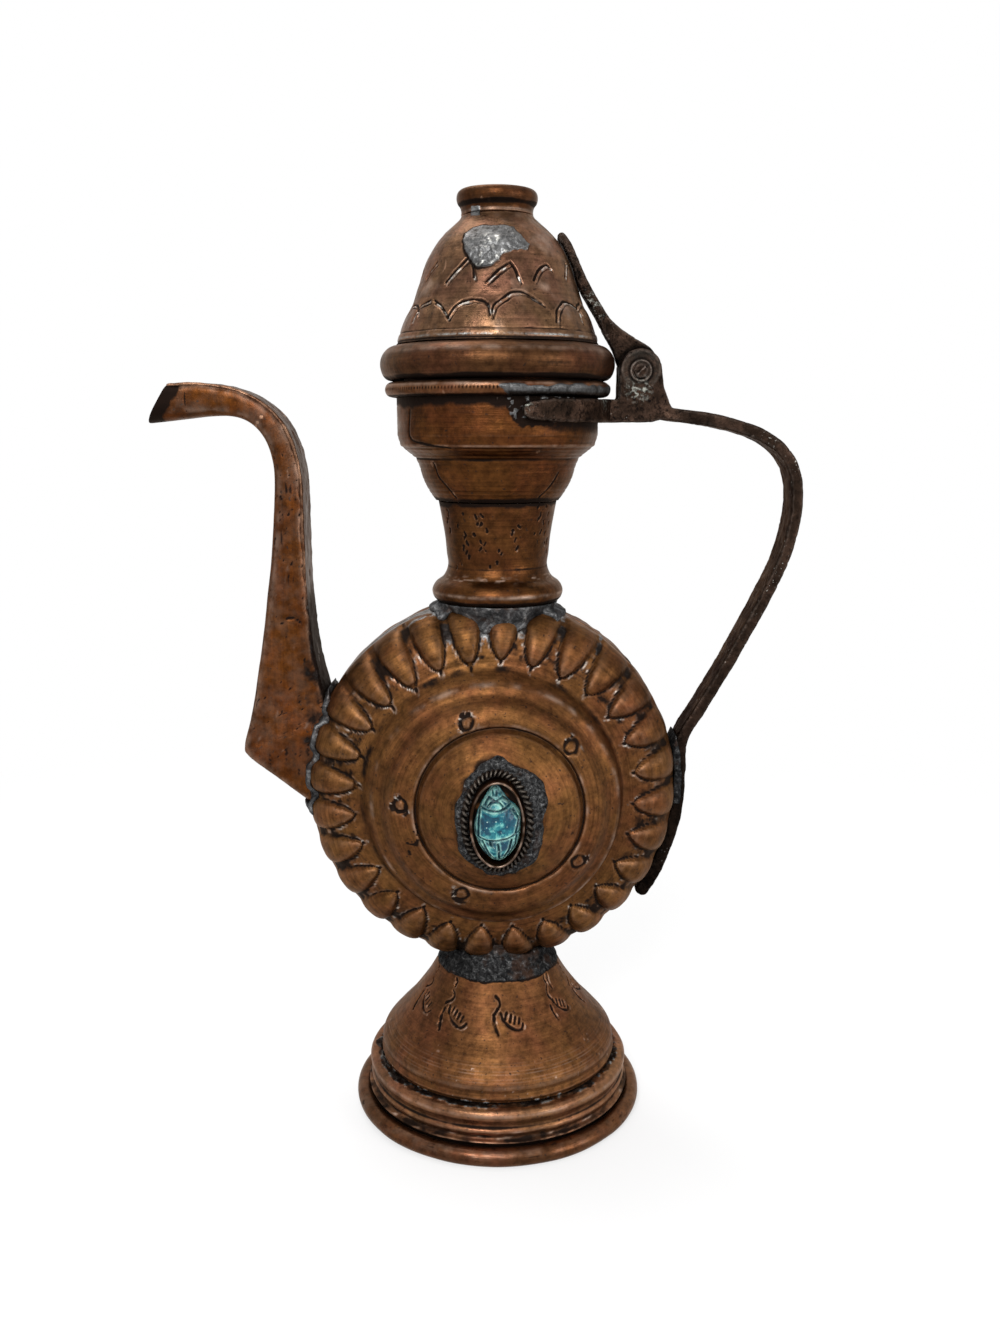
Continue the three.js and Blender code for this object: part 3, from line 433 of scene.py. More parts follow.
def upright(place, across, y=0.0):
    """A frame on an upright plane along the pot: an [x, z] place, an [x, z] direction and the Y axis."""
    return np.array([place[0], y, place[1]]), np.array([across[0], 0, across[1]]), np.array([0, 1.0, 0])


def eased_section(half_across, half_deep, edge, steps=4):
    """A rectangle with round corners, as [across, deep] pairs."""
    points = []
    for sign_u, sign_v, start in ((1, 1, 0), (-1, 1, 90), (-1, -1, 180), (1, -1, 270)):
        turns = np.radians(start + 90 * np.arange(steps + 1) / steps)
        points += circle(sign_u * (half_across - edge), sign_v * (half_deep - edge), edge, turns)
    return points


# Materials

class Nodes:
    """The shader nodes of a material or of the world. The base colour and the bumps of a material are
    laid one over another."""

    def __init__(self, owner):
        self.owner, self.base, self.normal = owner, None, None
        owner.use_nodes = True
        owner.node_tree.nodes.clear()

    def add(self, kind, inputs=None, **settings):
        made = self.owner.node_tree.nodes.new("ShaderNode" + kind)
        for key, value in settings.items():
            setattr(made, key, value)
        for key, value in (inputs or {}).items():
            socket = made.inputs[key]
            if isinstance(value, bpy.types.NodeSocket):
                self.owner.node_tree.links.new(value, socket)
            elif socket.type == "RGBA":
                socket.default_value = (*value, 1)
            else:
                socket.default_value = value
        return made

    def maths(self, operation, a, b=0.0, clamp=False):
        return self.add("Math", {0: a, 1: b}, operation=operation, use_clamp=clamp).outputs[0]

    def times(self, a, b, clamp=False):
        return self.maths("MULTIPLY", a, b, clamp)

    def vector(self, operation, a, b=(0, 0, 0)):
        """Vector maths; a length or a distance comes out of the second socket."""
        made = self.add("VectorMath", {0: a, 1: b}, operation=operation)
        return made.outputs["Value" if operation in ("LENGTH", "DISTANCE") else "Vector"]

    def ramp(self, factor, *stops):
        """A colour ramp from (place, colour) stops; a plain number stands for a grey."""
        made = self.add("ValToRGB", {"Fac": factor})
        elements = made.color_ramp.elements
        while len(elements) < len(stops):
            elements.new(0.5)
        for element, (place, colour) in zip(elements, stops):
            element.position = place
            element.color = (*(colour if isinstance(colour, tuple) else (colour,) * 3), 1)
        return made.outputs["Color"]

    def noise(self, scale, detail, roughness, distortion=0.0, place=None):
        return self.add("TexNoise", {
            "Vector": place or self.place, "Scale": scale, "Detail": detail,
            "Roughness": roughness, "Distortion": distortion,
        }).outputs[0]

    def mark(self, name):
        return self.add("Attribute", attribute_name=name).outputs["Fac"]

    def between(self, factor, a, b):
        return self.add("Mix", {0: factor, 2: a, 3: b}, data_type="FLOAT").outputs[0]

    def cover(self, factor, colour, blend="MIX"):
        """Lays a colour over the base colour."""
        mixed = self.add("Mix", {0: factor, 6: self.base, 7: colour}, data_type="RGBA", blend_type=blend)
        self.base = mixed.outputs[2]

    def bump(self, height, strength, distance):
        """Lays a bump over the bumps so far."""
        inputs = {"Height": height, "Strength": strength, "Distance": distance}
        if self.normal:
            inputs["Normal"] = self.normal
        self.normal = self.add("Bump", inputs).outputs[0]

    def finished(self, **inputs):
        """The material with a glossy shader of the base colour, the bumps and some more inputs."""
        named = {key.replace("_", " "): value for key, value in inputs.items()}
        shader = self.add("BsdfPrincipled", {"Base Color": self.base, "Normal": self.normal, **named})
        self.add("OutputMaterial", {"Surface": shader.outputs[0]})
        return self.owner


def new_paint(name):
    paint = Nodes(bpy.data.materials.new(name))
    paint.place = paint.add("TexCoord").outputs["Object"]
    paint.edges = paint.add("NewGeometry").outputs["Pointiness"]
    return paint


def lathe_lines(paint):
    """Coordinates in which a fine noise becomes lines round the pot's axis."""
    return paint.vector("MULTIPLY", paint.place, (0.03, 0.03, 1.0))


def run_lines(paint):
    """Coordinates in which a fine noise becomes lines up and down."""
    return paint.vector("MULTIPLY", paint.place, (1.0, 1.0, 0.04))


def dish_lines(paint):
    """Coordinates in which a fine noise becomes rings round the belly's centre."""
    moved = paint.vector("SUBTRACT", paint.place, (BELLY_X * MM, 0, BELLY_Z * MM))
    flat = paint.vector("MULTIPLY", moved, (1, 0, 1))
    length = paint.vector("LENGTH", flat)
    rings = paint.add("CombineXYZ", {
        "X": length, "Y": paint.times(length, 1.37), "Z": paint.times(length, 0.61),
    })
    return paint.vector("ADD", rings.outputs[0], paint.vector("MULTIPLY", flat, (0.03, 0, 0.03)))


def copper_material(name, lines, tint, brush_scale=1500, brush_depth=0.5, tin_shade=0.4, tin_scale=900,
                    satin=0.0):
    """Brown patinated copper: blotches, brushed lines, pits, grimy hollows and rubbed edges, with painted
    highlights, glints and shade where the pieces mark them.
    """
    paint = new_paint(name)
    browns = [(0.13, 0.054, 0.022), (0.2, 0.083, 0.032), (0.26, 0.112, 0.04), (0.32, 0.142, 0.056)]
    red = (0.27, 0.085, 0.045)
    *browns, red = [tuple(np.multiply(colour, tint)) for colour in (*browns, red)]
    paint.base = paint.ramp(paint.noise(38, 5, 0.62, 0.4), *zip((0.3, 0.45, 0.58, 0.72), browns))
    paint.cover(paint.ramp(paint.noise(90, 3, 0.55), (0.42, 0.0), (0.68, 0.5)), red)
    mottle = paint.ramp(paint.noise(420, 5, 0.7), (0.3, 0.42), (0.53, 1.0), (0.75, 1.5))
    paint.cover(1.0, mottle, "MULTIPLY")
    streaks = paint.noise(brush_scale, 4, 0.75, place=lines(paint))
    paint.cover(0.75, paint.ramp(streaks, (0.3, 0.55), (0.52, 1.0), (0.75, 1.4)), "MULTIPLY")
    paint.cover(paint.ramp(paint.noise(1100, 2, 0.5), (0.66, 0.0), (0.72, 0.85)), (0.02, 0.012, 0.009))
    patchy = paint.ramp(paint.noise(260, 4, 0.6), (0.38, 0.15), (0.62, 1.0))
    worn = paint.times(paint.ramp(paint.edges, (0.508, 0.0), (0.57, 0.6)), patchy, True)
    sure = paint.maths("SUBTRACT", 1.0, paint.mark("level"))
    paint.cover(paint.times(worn, sure), (0.42, 0.24, 0.15))
    hollow = paint.ramp(paint.edges, (0.43, 0.9), (0.492, 0.0))
    paint.cover(paint.times(hollow, sure), (0.016, 0.009, 0.006))
    # The bright mark: lighter copper, real rubbed spots in some places and painted highlights and glints
    # along beads, ridges and chased lines in others.
    paint.cover(paint.times(paint.mark("bright"), patchy, True), (0.5, 0.36, 0.28))
    grain = paint.noise(900, 4, 0.75)
    tin_grain = paint.noise(tin_scale, 4, 0.7)
    tin = paint.maths("ADD", paint.mark("tin"), paint.times(grain, 0.5))
    tin = paint.ramp(tin, (0.62, 0.0), (0.8, 1.0))
    greys = [0.04 * tin_shade, 0.18 * tin_shade, 0.32 * tin_shade, 0.25 + 0.4 * tin_shade]
    paint.cover(tin, paint.ramp(tin_grain, *zip((0.3, 0.48, 0.64, 0.78), greys)))
    glints = paint.ramp(grain, (0.4, 0.0), (0.6, 1.0))
    paint.cover(paint.times(paint.mark("glare"), glints, True), (0.55, 0.54, 0.5))
    grime_and_shade = paint.maths("ADD", paint.mark("grime_and_shade"), paint.times(grain, 0.4))
    grime_and_shade = paint.ramp(grime_and_shade, (0.42, 0.0), (0.8, 0.96))
    # Near-black where pieces are marked grimy, and where they are marked with painted shade in gaps, creases
    # and under overhangs.
    paint.cover(grime_and_shade, (0.009, 0.006, 0.005))
    rough = paint.ramp(paint.noise(150, 5, 0.65), (0.3, 0.27 + satin), (0.7, 0.5 + satin))
    rough = paint.between(tin, paint.between(grime_and_shade, rough, 0.7), 0.42)
    paint.bump(streaks, brush_depth, 0.00012)
    paint.bump(paint.noise(300, 4, 0.6), 0.35, 0.0004)
    paint.bump(paint.between(tin, grain, tin_grain), paint.between(tin, 0.12, 0.55), 0.27 / tin_scale)
    return paint.finished(
        Roughness=rough, Metallic=0.93, Specular_IOR_Level=0.3, Specular_Tint=(0.8, 0.72, 0.66),
    )


SOLDER_SPOTS = [
    ((HINGE_X - 0.5, -5.6, HINGE_Z - 4.6), 4.2), ((AXIS_X + 5.5, -28.5, YOKE_TOP - 0.6), 4.5),
    ((AXIS_X + 27, -11, YOKE_TOP), 3.4), ((HINGE_X + 2.6, -2.4, HINGE_Z + 5.0), 2.2),
    ((AXIS_X + 23.5, -3, 221), 5.0),
]


def dark_metal_material(name):
    """Dark cast metal: brown-black with pits, rubbed edges, silvery specks and spots of solder, painted
    lighter on the ears' faces and with painted shade at the hinge and low down.
    """
    paint = new_paint(name)
    blotch = paint.noise(150, 5, 0.65, 0.3)
    paint.base = paint.ramp(
        blotch, (0.32, (0.008, 0.005, 0.0035)), (0.48, (0.021, 0.0125, 0.0085)),
        (0.62, (0.045, 0.026, 0.018)), (0.74, (0.075, 0.044, 0.03)),
    )
    paint.cover(paint.ramp(paint.edges, (0.512, 0.0), (0.6, 0.6)), (0.17, 0.135, 0.115))
    place = paint.add("SeparateXYZ", {"Vector": paint.place}).outputs
    strap = paint.ramp(paint.times(place["X"], 10.0), (0.5, 0.0), (0.58, 1.0))
    pits = paint.noise(700, 4, 0.8)
    dark = paint.ramp(pits, (0.5, 0.0), (0.62, 0.95))
    paint.cover(paint.times(dark, paint.between(strap, 1.0, 0.45)), (0.002, 0.0016, 0.0014))
    near = 0.0
    for centre, radius in SOLDER_SPOTS:
        away = paint.vector("DISTANCE", paint.place, tuple(value * MM for value in centre))
        spot = paint.ramp(paint.maths("DIVIDE", away, radius * MM), (0.35, 1.0), (1.0, 0.0))
        near = paint.maths("MAXIMUM", near, spot)
    crust = paint.ramp(paint.noise(950, 3, 0.6), (0.5, 0.0), (0.6, 0.9))
    tone = paint.ramp(paint.noise(1300, 2, 0.5), (0.4, (0.05, 0.052, 0.045)), (0.66, (0.34, 0.34, 0.3)))
    paint.cover(paint.times(crust, near, True), tone)
    specks = paint.ramp(paint.noise(1500, 2, 0.5), (0.66, 0.0), (0.71, 1.0))
    spread_out = paint.ramp(paint.noise(110, 2, 0.5), (0.54, 0.0), (0.64, 0.7))
    paint.cover(paint.times(specks, spread_out, True), (0.42, 0.4, 0.36))
    rubbed = paint.ramp(pits, (0.4, 0.4), (0.6, 1.0))
    # Lighter where marked: rubbed and lit crests on the rope, and the ears' faces painted lighter than the
    # arm behind them.
    paint.cover(paint.times(paint.mark("bright"), rubbed, True), (0.3, 0.26, 0.22))
    # Near-black where marked: painted shade on the arm round the knuckle between the ears, and dark rings at
    # the pin.
    paint.cover(paint.mark("grime_and_shade"), (0.0015, 0.0012, 0.001))
    # Painted shade: darker from about 145 mm down, to a quarter below 90 mm, over the handle's lower end and
    # the rope.
    low = paint.ramp(paint.times(place["Z"], 4.0), (0.36, 0.25), (0.58, 1.0))
    paint.cover(1.0, low, "MULTIPLY")
    paint.bump(pits, paint.between(strap, 0.9, 0.25), 0.0006)
    paint.bump(blotch, paint.between(strap, 0.6, 0.25), 0.0012)
    rough = paint.ramp(blotch, (0.3, 0.6), (0.7, 0.36))
    return paint.finished(Roughness=rough, Metallic=0.94, Specular_Tint=(0.5, 0.44, 0.4))


def solder_material(name, shade, scale, bump_share=1.0):
    """Dull grey solder: granular or smooth, with dark pits and brown stains."""
    paint = new_paint(name)
    grain = paint.noise(scale, 6, 0.75, 0.5)
    paint.base = paint.ramp(
        grain, (0.36, (0.007 * shade, 0.007 * shade, 0.0073 * shade)),
        (0.5, (0.036 * shade, 0.036 * shade, 0.037 * shade)), (0.6, 0.1 * shade),
        (0.7, min(0.42, 0.08 + 0.22 * shade)),
    )
    paint.cover(paint.ramp(paint.noise(180, 3, 0.6), (0.54, 0.0), (0.68, 0.7)), (0.04, 0.02, 0.012))
    paint.cover(paint.ramp(paint.edges, (0.42, 0.95), (0.495, 0.0)), (0.005, 0.0045, 0.0045))
    paint.bump(grain, 0.9 * bump_share, 0.0006)
    rough = paint.ramp(grain, (0.35, 0.7), (0.7, 0.4))
    return paint.finished(Roughness=rough, Metallic=0.92, Specular_Tint=(0.4, 0.4, 0.4))


def faience_material(name):
    """Turquoise glaze: deep blue pools, pale worn ridges and dark lines."""
    paint = new_paint(name)
    pool = paint.noise(420, 4, 0.65, 0.4)
    paint.base = paint.ramp(
        pool, (0.38, (0.0, 0.02, 0.036)), (0.47, (0.001, 0.06, 0.095)), (0.55, (0.01, 0.14, 0.165)),
        (0.65, (0.13, 0.36, 0.33)),
    )
    paint.cover(paint.mark("pool"), (0.0, 0.03, 0.06))
    ridge = paint.times(paint.mark("bright"), paint.ramp(pool, (0.4, 0.15), (0.62, 0.8)))
    paint.cover(ridge, (0.34, 0.56, 0.47))
    paint.cover(paint.mark("grime_and_shade"), (0.001, 0.008, 0.012))
    paint.cover(paint.ramp(paint.noise(1400, 2, 0.5), (0.68, 0.0), (0.72, 0.6)), (0.5, 0.68, 0.6))
    paint.bump(pool, 0.3, 0.0004)
    return paint.finished(Roughness=0.32, Specular_IOR_Level=0.25, Coat_Weight=0.12, Coat_Roughness=0.12)


BELL_COPPER = copper_material("bell_copper", lathe_lines, (0.47, 0.47, 0.44), satin=0.12)
STEP_COPPER = copper_material("step_copper", lathe_lines, (0.68, 0.74, 0.88))
FOOT_RIM_COPPER = copper_material("foot_rim_copper", lathe_lines, (0.36, 0.34, 0.34), satin=-0.05)
NECK_COPPER = copper_material("neck_copper", lathe_lines, (0.28, 0.25, 0.2))
CUP_COPPER = copper_material("cup_copper", lathe_lines, (0.33, 0.285, 0.205), 1300, 0.9)
CUP_RIM_COPPER = copper_material("cup_rim_copper", lathe_lines, (0.42, 0.39, 0.38), tin_shade=0.35,
                                 tin_scale=400)
LID_RIM_COPPER = copper_material("lid_rim_copper", lathe_lines, (0.25, 0.25, 0.28))
DOME_COPPER = copper_material("dome_copper", lathe_lines, (0.54, 0.68, 0.94), tin_shade=0.5, tin_scale=220)
KNOB_COPPER = copper_material("knob_copper", lathe_lines, (0.22, 0.195, 0.17), tin_shade=0.8)
BELLY_COPPER = copper_material("belly_copper", dish_lines, (0.46, 0.465, 0.4), 900, 0.25, 0.75, satin=0.12)
SPOUT_COPPER = copper_material("spout_copper", run_lines, (0.295, 0.205, 0.07), 700, 0.25, satin=0.08)
STRIP_COPPER = copper_material("strip_copper", run_lines, (0.12, 0.09, 0.075), 700, 0.3)
SHADED_COPPER = copper_material("shaded_copper", lathe_lines, (0.16, 0.14, 0.13), satin=0.1)
DARK_METAL = dark_metal_material("dark_metal")
SOLDER = solder_material("solder", 0.9, 1100)
SMOOTH_SOLDER = solder_material("smooth_solder", 1.6, 300, 0.5)
DARK_SOLDER = solder_material("dark_solder", 0.4, 800, 0.3)
FAIENCE = faience_material("faience")


# Relief on the turned pieces

# The radius on which a degree has its length, for the strokes on each piece
BELL_REFERENCE = 22
NECK_REFERENCE = 14.3
CUP_REFERENCE = 24
DOME_REFERENCE = 21.5


def crests(distance, width):
    """The burr thrown up along both sides of a chased line."""
    return peak(distance, 2.1 * width, 0.8 * width)


def carved(distance, width, depth, burr):
    """A chased line: its lift with a share of burr, and its groove as a mark."""
    groove = peak(distance, 0, width)
    return depth * (burr * crests(distance, width) - groove), groove


def shifted(strokes, angle, run):
    return [[(a + angle, b + run) for a, b in stroke] for stroke in strokes]


def smoothed(strokes):
    return [smooth_line(stroke, 4).tolist() if len(stroke) > 2 else stroke for stroke in strokes]


# The sprigs on the bell, each of a stem, a narrow leaf and a toothed leaf
SPRIG_A = [
    [(-1.8, 28.6), (0.9, 27.5), (1.6, 26.0), (-0.8, 24.8), (-2.9, 23.5)],
    [(-2.4, 22.8), (-1.4, 20.6), (0.5, 18.3)], [(-3.0, 22.8), (-2.3, 20.8), (-0.2, 19.0)],
    [(2.2, 24.0), (4.4, 22.0), (8.2, 20.4), (12.3, 19.4), (15.8, 19.5), (17.6, 20.9)],
    [(5.4, 22.4), (6.6, 24.0)], [(8.6, 21.8), (9.8, 23.4)], [(11.6, 21.2), (12.8, 22.8)],
    [(14.6, 21.0), (15.6, 22.4)],
]
SPRIG_B = [
    [(-1.2, 28.1), (1.2, 27.0), (0.8, 26.0), (-1.6, 25.0), (-4.4, 24.4)],
    [(-3.1, 22.9), (-2.9, 20.4), (-0.5, 17.2)], [(-3.7, 22.8), (-3.6, 20.4), (-1.4, 17.9)],
    [(0.4, 24.0), (1.8, 22.2), (5.6, 20.6), (10.4, 19.4), (14.5, 19.2), (17.4, 20.5)],
    [(3.8, 22.4), (4.8, 24.0)], [(6.8, 21.8), (7.8, 23.4)], [(9.8, 21.2), (10.9, 22.8)],
    [(13.0, 20.9), (14.0, 22.2)], [(-2.0, 31.4), (0.2, 30.6), (-0.8, 29.6)],
]
SPRIG_C = [
    [(3.2, 32.6), (1.2, 30.4), (2.0, 29.4), (-1.2, 26.8), (0.0, 25.2)],
    [(-2.8, 23.3), (-2.6, 21.4), (-1.5, 19.3)], [(6.8, 31.6), (5.0, 29.8), (6.4, 27.6)],
    [(1.3, 24.6), (3.6, 22.4), (7.4, 20.8), (11.0, 20.2), (13.2, 20.9)],
    [(4.4, 22.8), (5.4, 24.4)], [(7.2, 22.0), (8.2, 23.6)], [(9.8, 21.6), (10.8, 23.0)],
]
SPRIGS = [
    (-112, SPRIG_C), (-71, SPRIG_B), (-39, SPRIG_B), (0, SPRIG_A), (46, SPRIG_C), (82, SPRIG_B),
    (118, SPRIG_A), (153, SPRIG_C), (188, SPRIG_B), (222, SPRIG_A),
]


BELL_SHARES = [
    [1, 0], [0.99, 0.18], [0.81, 0.325], [0.585, 0.47], [0.413, 0.6], [0.24, 0.745], [0.084, 0.905], [0, 1],
]
BELL_LINE = even_line(smooth_line(shares_between(BELL_SHARES, 16.2, 33.2, BELL_BOTTOM, BELL_TOP)), 0.26)


def bell_relief(face):
    strokes = [line for turn, sprig in SPRIGS for line in shifted(sprig, turn, 0)]
    shaky = 0.2 * face.noise(0.9, 16)
    found = np.maximum(face.strokes(smoothed(strokes), BELL_REFERENCE) + shaky, 0)
    lift, groove = carved(found, 0.3, 0.42, 0.08)
    groove = groove * (0.95 + 0.45 * face.noise(1.7, 17))
    inner = face.strokes(shifted(smoothed(strokes), 1.6, -0.5), BELL_REFERENCE)
    glint = peak(inner, 0, 0.16) * step_up(face.noise(0.9, 15), -0.1, 0.4)
    run = face.run
    ridge = peak(run, 1.3, 0.5) * 0.3 - peak(run, 3.0, 0.6) * 0.22
    dark_band = face.dark_band([BELL_BOTTOM], 0.4, 1.0)
    # A painted highlight line low on the bell; the glints are painted too, the turned lines are real.
    pale = peak(run, 4.3, 0.7) * 0.12
    lines = peak(run, 7.5, 3.0) * step_up(np.sin(run * 9), 0.6, 0.95) * 0.14
    ragged = face.rough(3.5, 3, 8)
    solder = step_up(face.height + 0.7 * ragged, BELL_TOP - 2.2, BELL_TOP - 1.4)
    glints = step_up(face.noise(1.0, 18), 0.8, 0.9) * step_down(run, 6, 16)
    crumbs = step_up(face.rough(1.5, 3, 14), 0.2, 0.7) * step_down(run, 0.4, 1.0)
    return lift + ridge + crumbs * 0.4, {
        "grime_and_shade": most(groove, dark_band, solder),
        "bright": most(glint * 0.6, pale, lines, glints * 0.7) * (1 - solder),
        "tin": crumbs * 0.8,
    }


dress(turned_piece("bell", BELL_LINE, inner_line(BELL_LINE), 720, bell_relief, 3),
      "pot", BELL_COPPER, "foot_bell")


def tube_line(centre_radius, centre_height, tube, steps=36):
    """The outline of a wire ring, flat where it rests."""
    turns = np.linspace(-np.pi / 2, 3 * np.pi / 2, steps, endpoint=False)
    line = np.column_stack([centre_radius + tube * np.cos(turns), centre_height + tube * np.sin(turns)])
    line[:, 1] = np.maximum(line[:, 1], 0)
    return line


def rim_relief(face):
    dark_band = face.dark_band([0.3], 0.5, 0.8)
    # Painted shade on the tube's inner side, facing the step.
    inside = step_down(face.radius - FOOT_RIM_RADIUS + 1.2, -0.8, 0) * 0.9
    ragged = face.rough(2.4, 3, 16, (1, 1, 3))
    blots = step_up(ragged, 0.7, 1.0) * 0.5
    crown = step_up(face.radius, FOOT_RIM_RADIUS + 0.2, FOOT_RIM_RADIUS + 1.2)
    # A painted highlight along the upper outer face of the tube.
    pale = crown * step_up(face.height, 2.4, 3.6) * step_up(face.rough(5, 3, 17), -0.1, 0.5)
    return -0.12 * blots, {"grime_and_shade": most(dark_band, inside, blots), "bright": pale * 0.08}


rim_tube = FOOT_RIM_HEIGHT / 2
rim_line = tube_line(FOOT_RIM_RADIUS, rim_tube, rim_tube)
dress(turned_piece("foot_rim", rim_line[:-1], rim_line[-1:], 360, rim_relief, 11, 0.1),
      "pot", FOOT_RIM_COPPER, "foot_rim_ring")

STEP_OUTER = smooth_line([
    [34.9, 1.5], [35.8, 1.8], [35.9, 3.4], [36.1, 4.7], [36.5, 5.3], [37.2, 5.35], [37.5, 5.6], [37.1, 5.95],
    [36.3, 6.3], [36.2, 6.9], [36.55, 7.7], [36.65, 8.5], [36.2, 9.2], [36.05, 9.9], [36.4, 10.9],
    [36.85, 12.0], [36.8, 13.1], [36.2, 14.0],
    [35.2, 14.35], [33.6, 14.35], [32.2, 14.25], [31.1, 14.2],
], 8)
STEP_LINE = even_line(STEP_OUTER, 0.35)
STEP_INNER = even_line([[31.1, 13.2], [34.5, 13.1], [34.6, 9.0], [34.6, 1.6]], 2.5)


def step_relief(face):
    ragged = face.rough(1.4, 3, 22, (0.35, 0.35, 1.6))
    # Painted shade: dark below the ledge, where the step stands behind the rim.
    low = step_down(face.height, 5.2, 5.6)
    rusty = step_down(face.height - 0.8 * ragged, 6.2, 8.8) * (0.44 + 0.28 * ragged)
    band = face.dark_band([9.4], 0.4, 0.95, 6)
    shelf = step_up(face.height, 13.9, 14.2) * step_down(face.radius - 0.7 * ragged, 34.5, 35.3)
    bits = face.rough(1.1, 3, 14) + 0.3 * ragged
    crumbs = shelf * step_up(bits, -0.2, 0.35)
    scratches = step_up(face.noise(2.4, 24, (1, 1, 6)), 0.45, 0.75)
    scratches = scratches * step_down(face.height, 8.0, 8.6)
    return crumbs * 0.5 - 0.15 * rusty, {
        "grime_and_shade": most(low, rusty, band, shelf * (0.55 + 0.3 * ragged)),
        # A painted highlight along the upper roll; the scratches are real wear.
        "bright": most(peak(face.height, 12.9, 0.4) * 0.3, scratches * 0.8 * (1 - low)),
        "tin": crumbs, "glare": crumbs * step_up(bits, 0.35, 0.8),
    }


dress(turned_piece("foot_step", STEP_LINE, STEP_INNER, 360, step_relief, 21, 0.12),
      "pot", STEP_COPPER, "foot_step_ring")

# Neck
NECK_SHARES = [
    [0.74, 0], [0.93, 0.04], [1, 0.106], [0.77, 0.178], [0.26, 0.246], [0, 0.356],
    [0.09, 0.485], [0.19, 0.65], [0.42, 0.875], [0.56, 1],
]
NECK_LINE = even_line(smooth_line(shares_between(NECK_SHARES, 13.3, 17.6, NECK_BOTTOM, NECK_TOP)), 0.2)
# Each pit is its place in degrees from the front, its place up the neck, its length and its lean.
PITS = [
    (-62, 23.6, 1.0, 0.3), (-58, 26.0, 0.9, -0.3), (-58, 24.6, 0.8, 0.4), (-60, 21.0, 0.9, 0.3),
    (-45, 22.4, 0.6, 0.2), (-36, 25.5, 0.3, 0.0), (-36.4, 20.4, 0.9, -0.3), (-37.6, 19.2, 0.7, 0.4),
    (-34.6, 18.0, 0.9, -0.5), (-40, 16.6, 0.9, 0.1), (-36.8, 15.4, 0.9, 0.5), (-33.4, 14.2, 0.8, 0.5),
    (-25.2, 20.3, 0.45, -0.4), (-21.5, 25.0, 0.8, -0.6), (-15.6, 25.3, 0.9, -0.6),
    (-20.0, 23.4, 0.7, 0.5), (-16.6, 23.0, 0.7, 0.4), (-10.8, 21.6, 0.9, -0.35), (-18.0, 18.3, 0.9, -0.6),
    (-13.4, 18.0, 0.9, 0.6), (-18.4, 16.6, 0.8, 0.6), (-13.6, 16.4, 0.8, -0.6), (-45.3, 12.4, 0.3, 0.0),
    (-54, 11.3, 0.3, 0.0), (4.5, 15.4, 0.4, 0.5), (1.8, 16.2, 0.3, 0.0), (-0.4, 13.0, 0.6, 0.1),
    (-8.0, 11.9, 0.3, 0.0), (22.4, 22.5, 0.6, -0.9), (16.0, 20.8, 1.1, 0.05), (19.2, 18.9, 1.1, 0.35),
    (21.6, 16.8, 1.0, 0.35), (43.5, 27.5, 0.7, 0.3), (48, 25.4, 0.9, 0.0), (46, 24.2, 0.7, 0.6),
    (55, 27.6, 0.7, -0.3), (61.9, 25.4, 0.9, 0.3), (55.1, 23.2, 0.9, -0.3), (66, 22.8, 0.9, 0.2),
    (43, 20.6, 0.4, 0.0), (60.1, 20.3, 0.9, 0.3), (49.3, 18.0, 0.8, -0.2), (68.8, 17.8, 1.2, 0.1),
    (71.4, 15.4, 1.1, 0.1), (52, 20.8, 0.7, 0.4), (63, 17.4, 0.8, -0.3),
]
PIT_REPEATS = 2


def neck_relief(face):
    strokes = []
    for turn, up, length, lean in PITS:
        aside = 4 * lean * length / 2
        strokes.append([(turn - aside, up - length / 2), (turn + aside, up + length / 2)])
    found = face.strokes(strokes, NECK_REFERENCE, PIT_REPEATS)
    ragged = 0.12 * face.noise(0.7, 35)
    lift, groove = carved(np.maximum(found + 2.4 * ragged, 0), 0.28, 0.26, 0.0)
    low_edge = face.strokes(shifted(strokes, 1.1, -0.3), NECK_REFERENCE, PIT_REPEATS)
    glint = peak(low_edge, 0, 0.16) * step_up(face.noise(1.6, 36), 0.2, 0.6)
    dark_band = face.dark_band([NECK_BOTTOM + 0.2, NECK_TOP - 0.2], 0.8, 1.2)
    line = face.dark_band([NECK_BOTTOM + 9.2], 0.35, 0.7, 7)
    up = face.height - NECK_BOTTOM
    ragged = face.rough(4, 3, 37)
    # Painted shade darkening the top of the neck under the cup.
    shade_under_cup = step_up(up + 0.8 * ragged, 24.4, 26.6) * 0.8
    # A painted highlight on the bead, and a pale scratched band above it.
    pale = peak(up, 2.4, 0.4) * 0.45
    scratchy = step_up(face.noise(1.6, 38, (1, 1, 4)), 0.1, 0.6)
    pale = most(pale, peak(up, 6.6, 0.8) * 0.7 * scratchy)
    low = step_down(face.height, NECK_BOTTOM + 0.1, NECK_BOTTOM + 1.0)
    grime_and_shade = most(groove * (1 - 0.8 * glint), dark_band, line, shade_under_cup)
    return lift, {"grime_and_shade": grime_and_shade, "bright": most(glint * 0.8, pale), "tin": low * 0.8}


dress(turned_piece("neck", NECK_LINE, inner_line(NECK_LINE), 560, neck_relief, 31, 0.09),
      "pot", NECK_COPPER, "neck_tube")

# Cup
CUP_SHARES = [
    [0, 0], [0.16, 0.084], [0.33, 0.206], [0.46, 0.363], [0.6, 0.44], [0.86, 0.525], [0.985, 0.62],
    [1, 0.7], [1, 0.85], [1, 1],
]
CUP_LINE = smooth_line(shares_between(CUP_SHARES, 16.4, CUP_RADIUS, CUP_BOTTOM, CUP_TOP))
CUP_LINE = even_line(np.vstack([CUP_LINE, [[CUP_RADIUS, CUP_RIM_BOTTOM + 0.1]]]), 0.33)
# Dark lines carved shallow round the cup: crack lines, and painted reflections of the dark surroundings that
# frame the lower cup.
CUP_CRACKS_AND_REFLECTIONS = [
    [(-56.3, 26.3), (-57.8, 21.4), (-55.8, 18.8), (-44.8, 17.8), (-27.7, 16.7)],
    [(-50.6, 11.2), (-48.9, 7.7), (-43.3, 5.0), (-37.9, 1.4)],
    [(38.0, 1.6), (44.5, 4.6), (50.0, 8.6)],
]


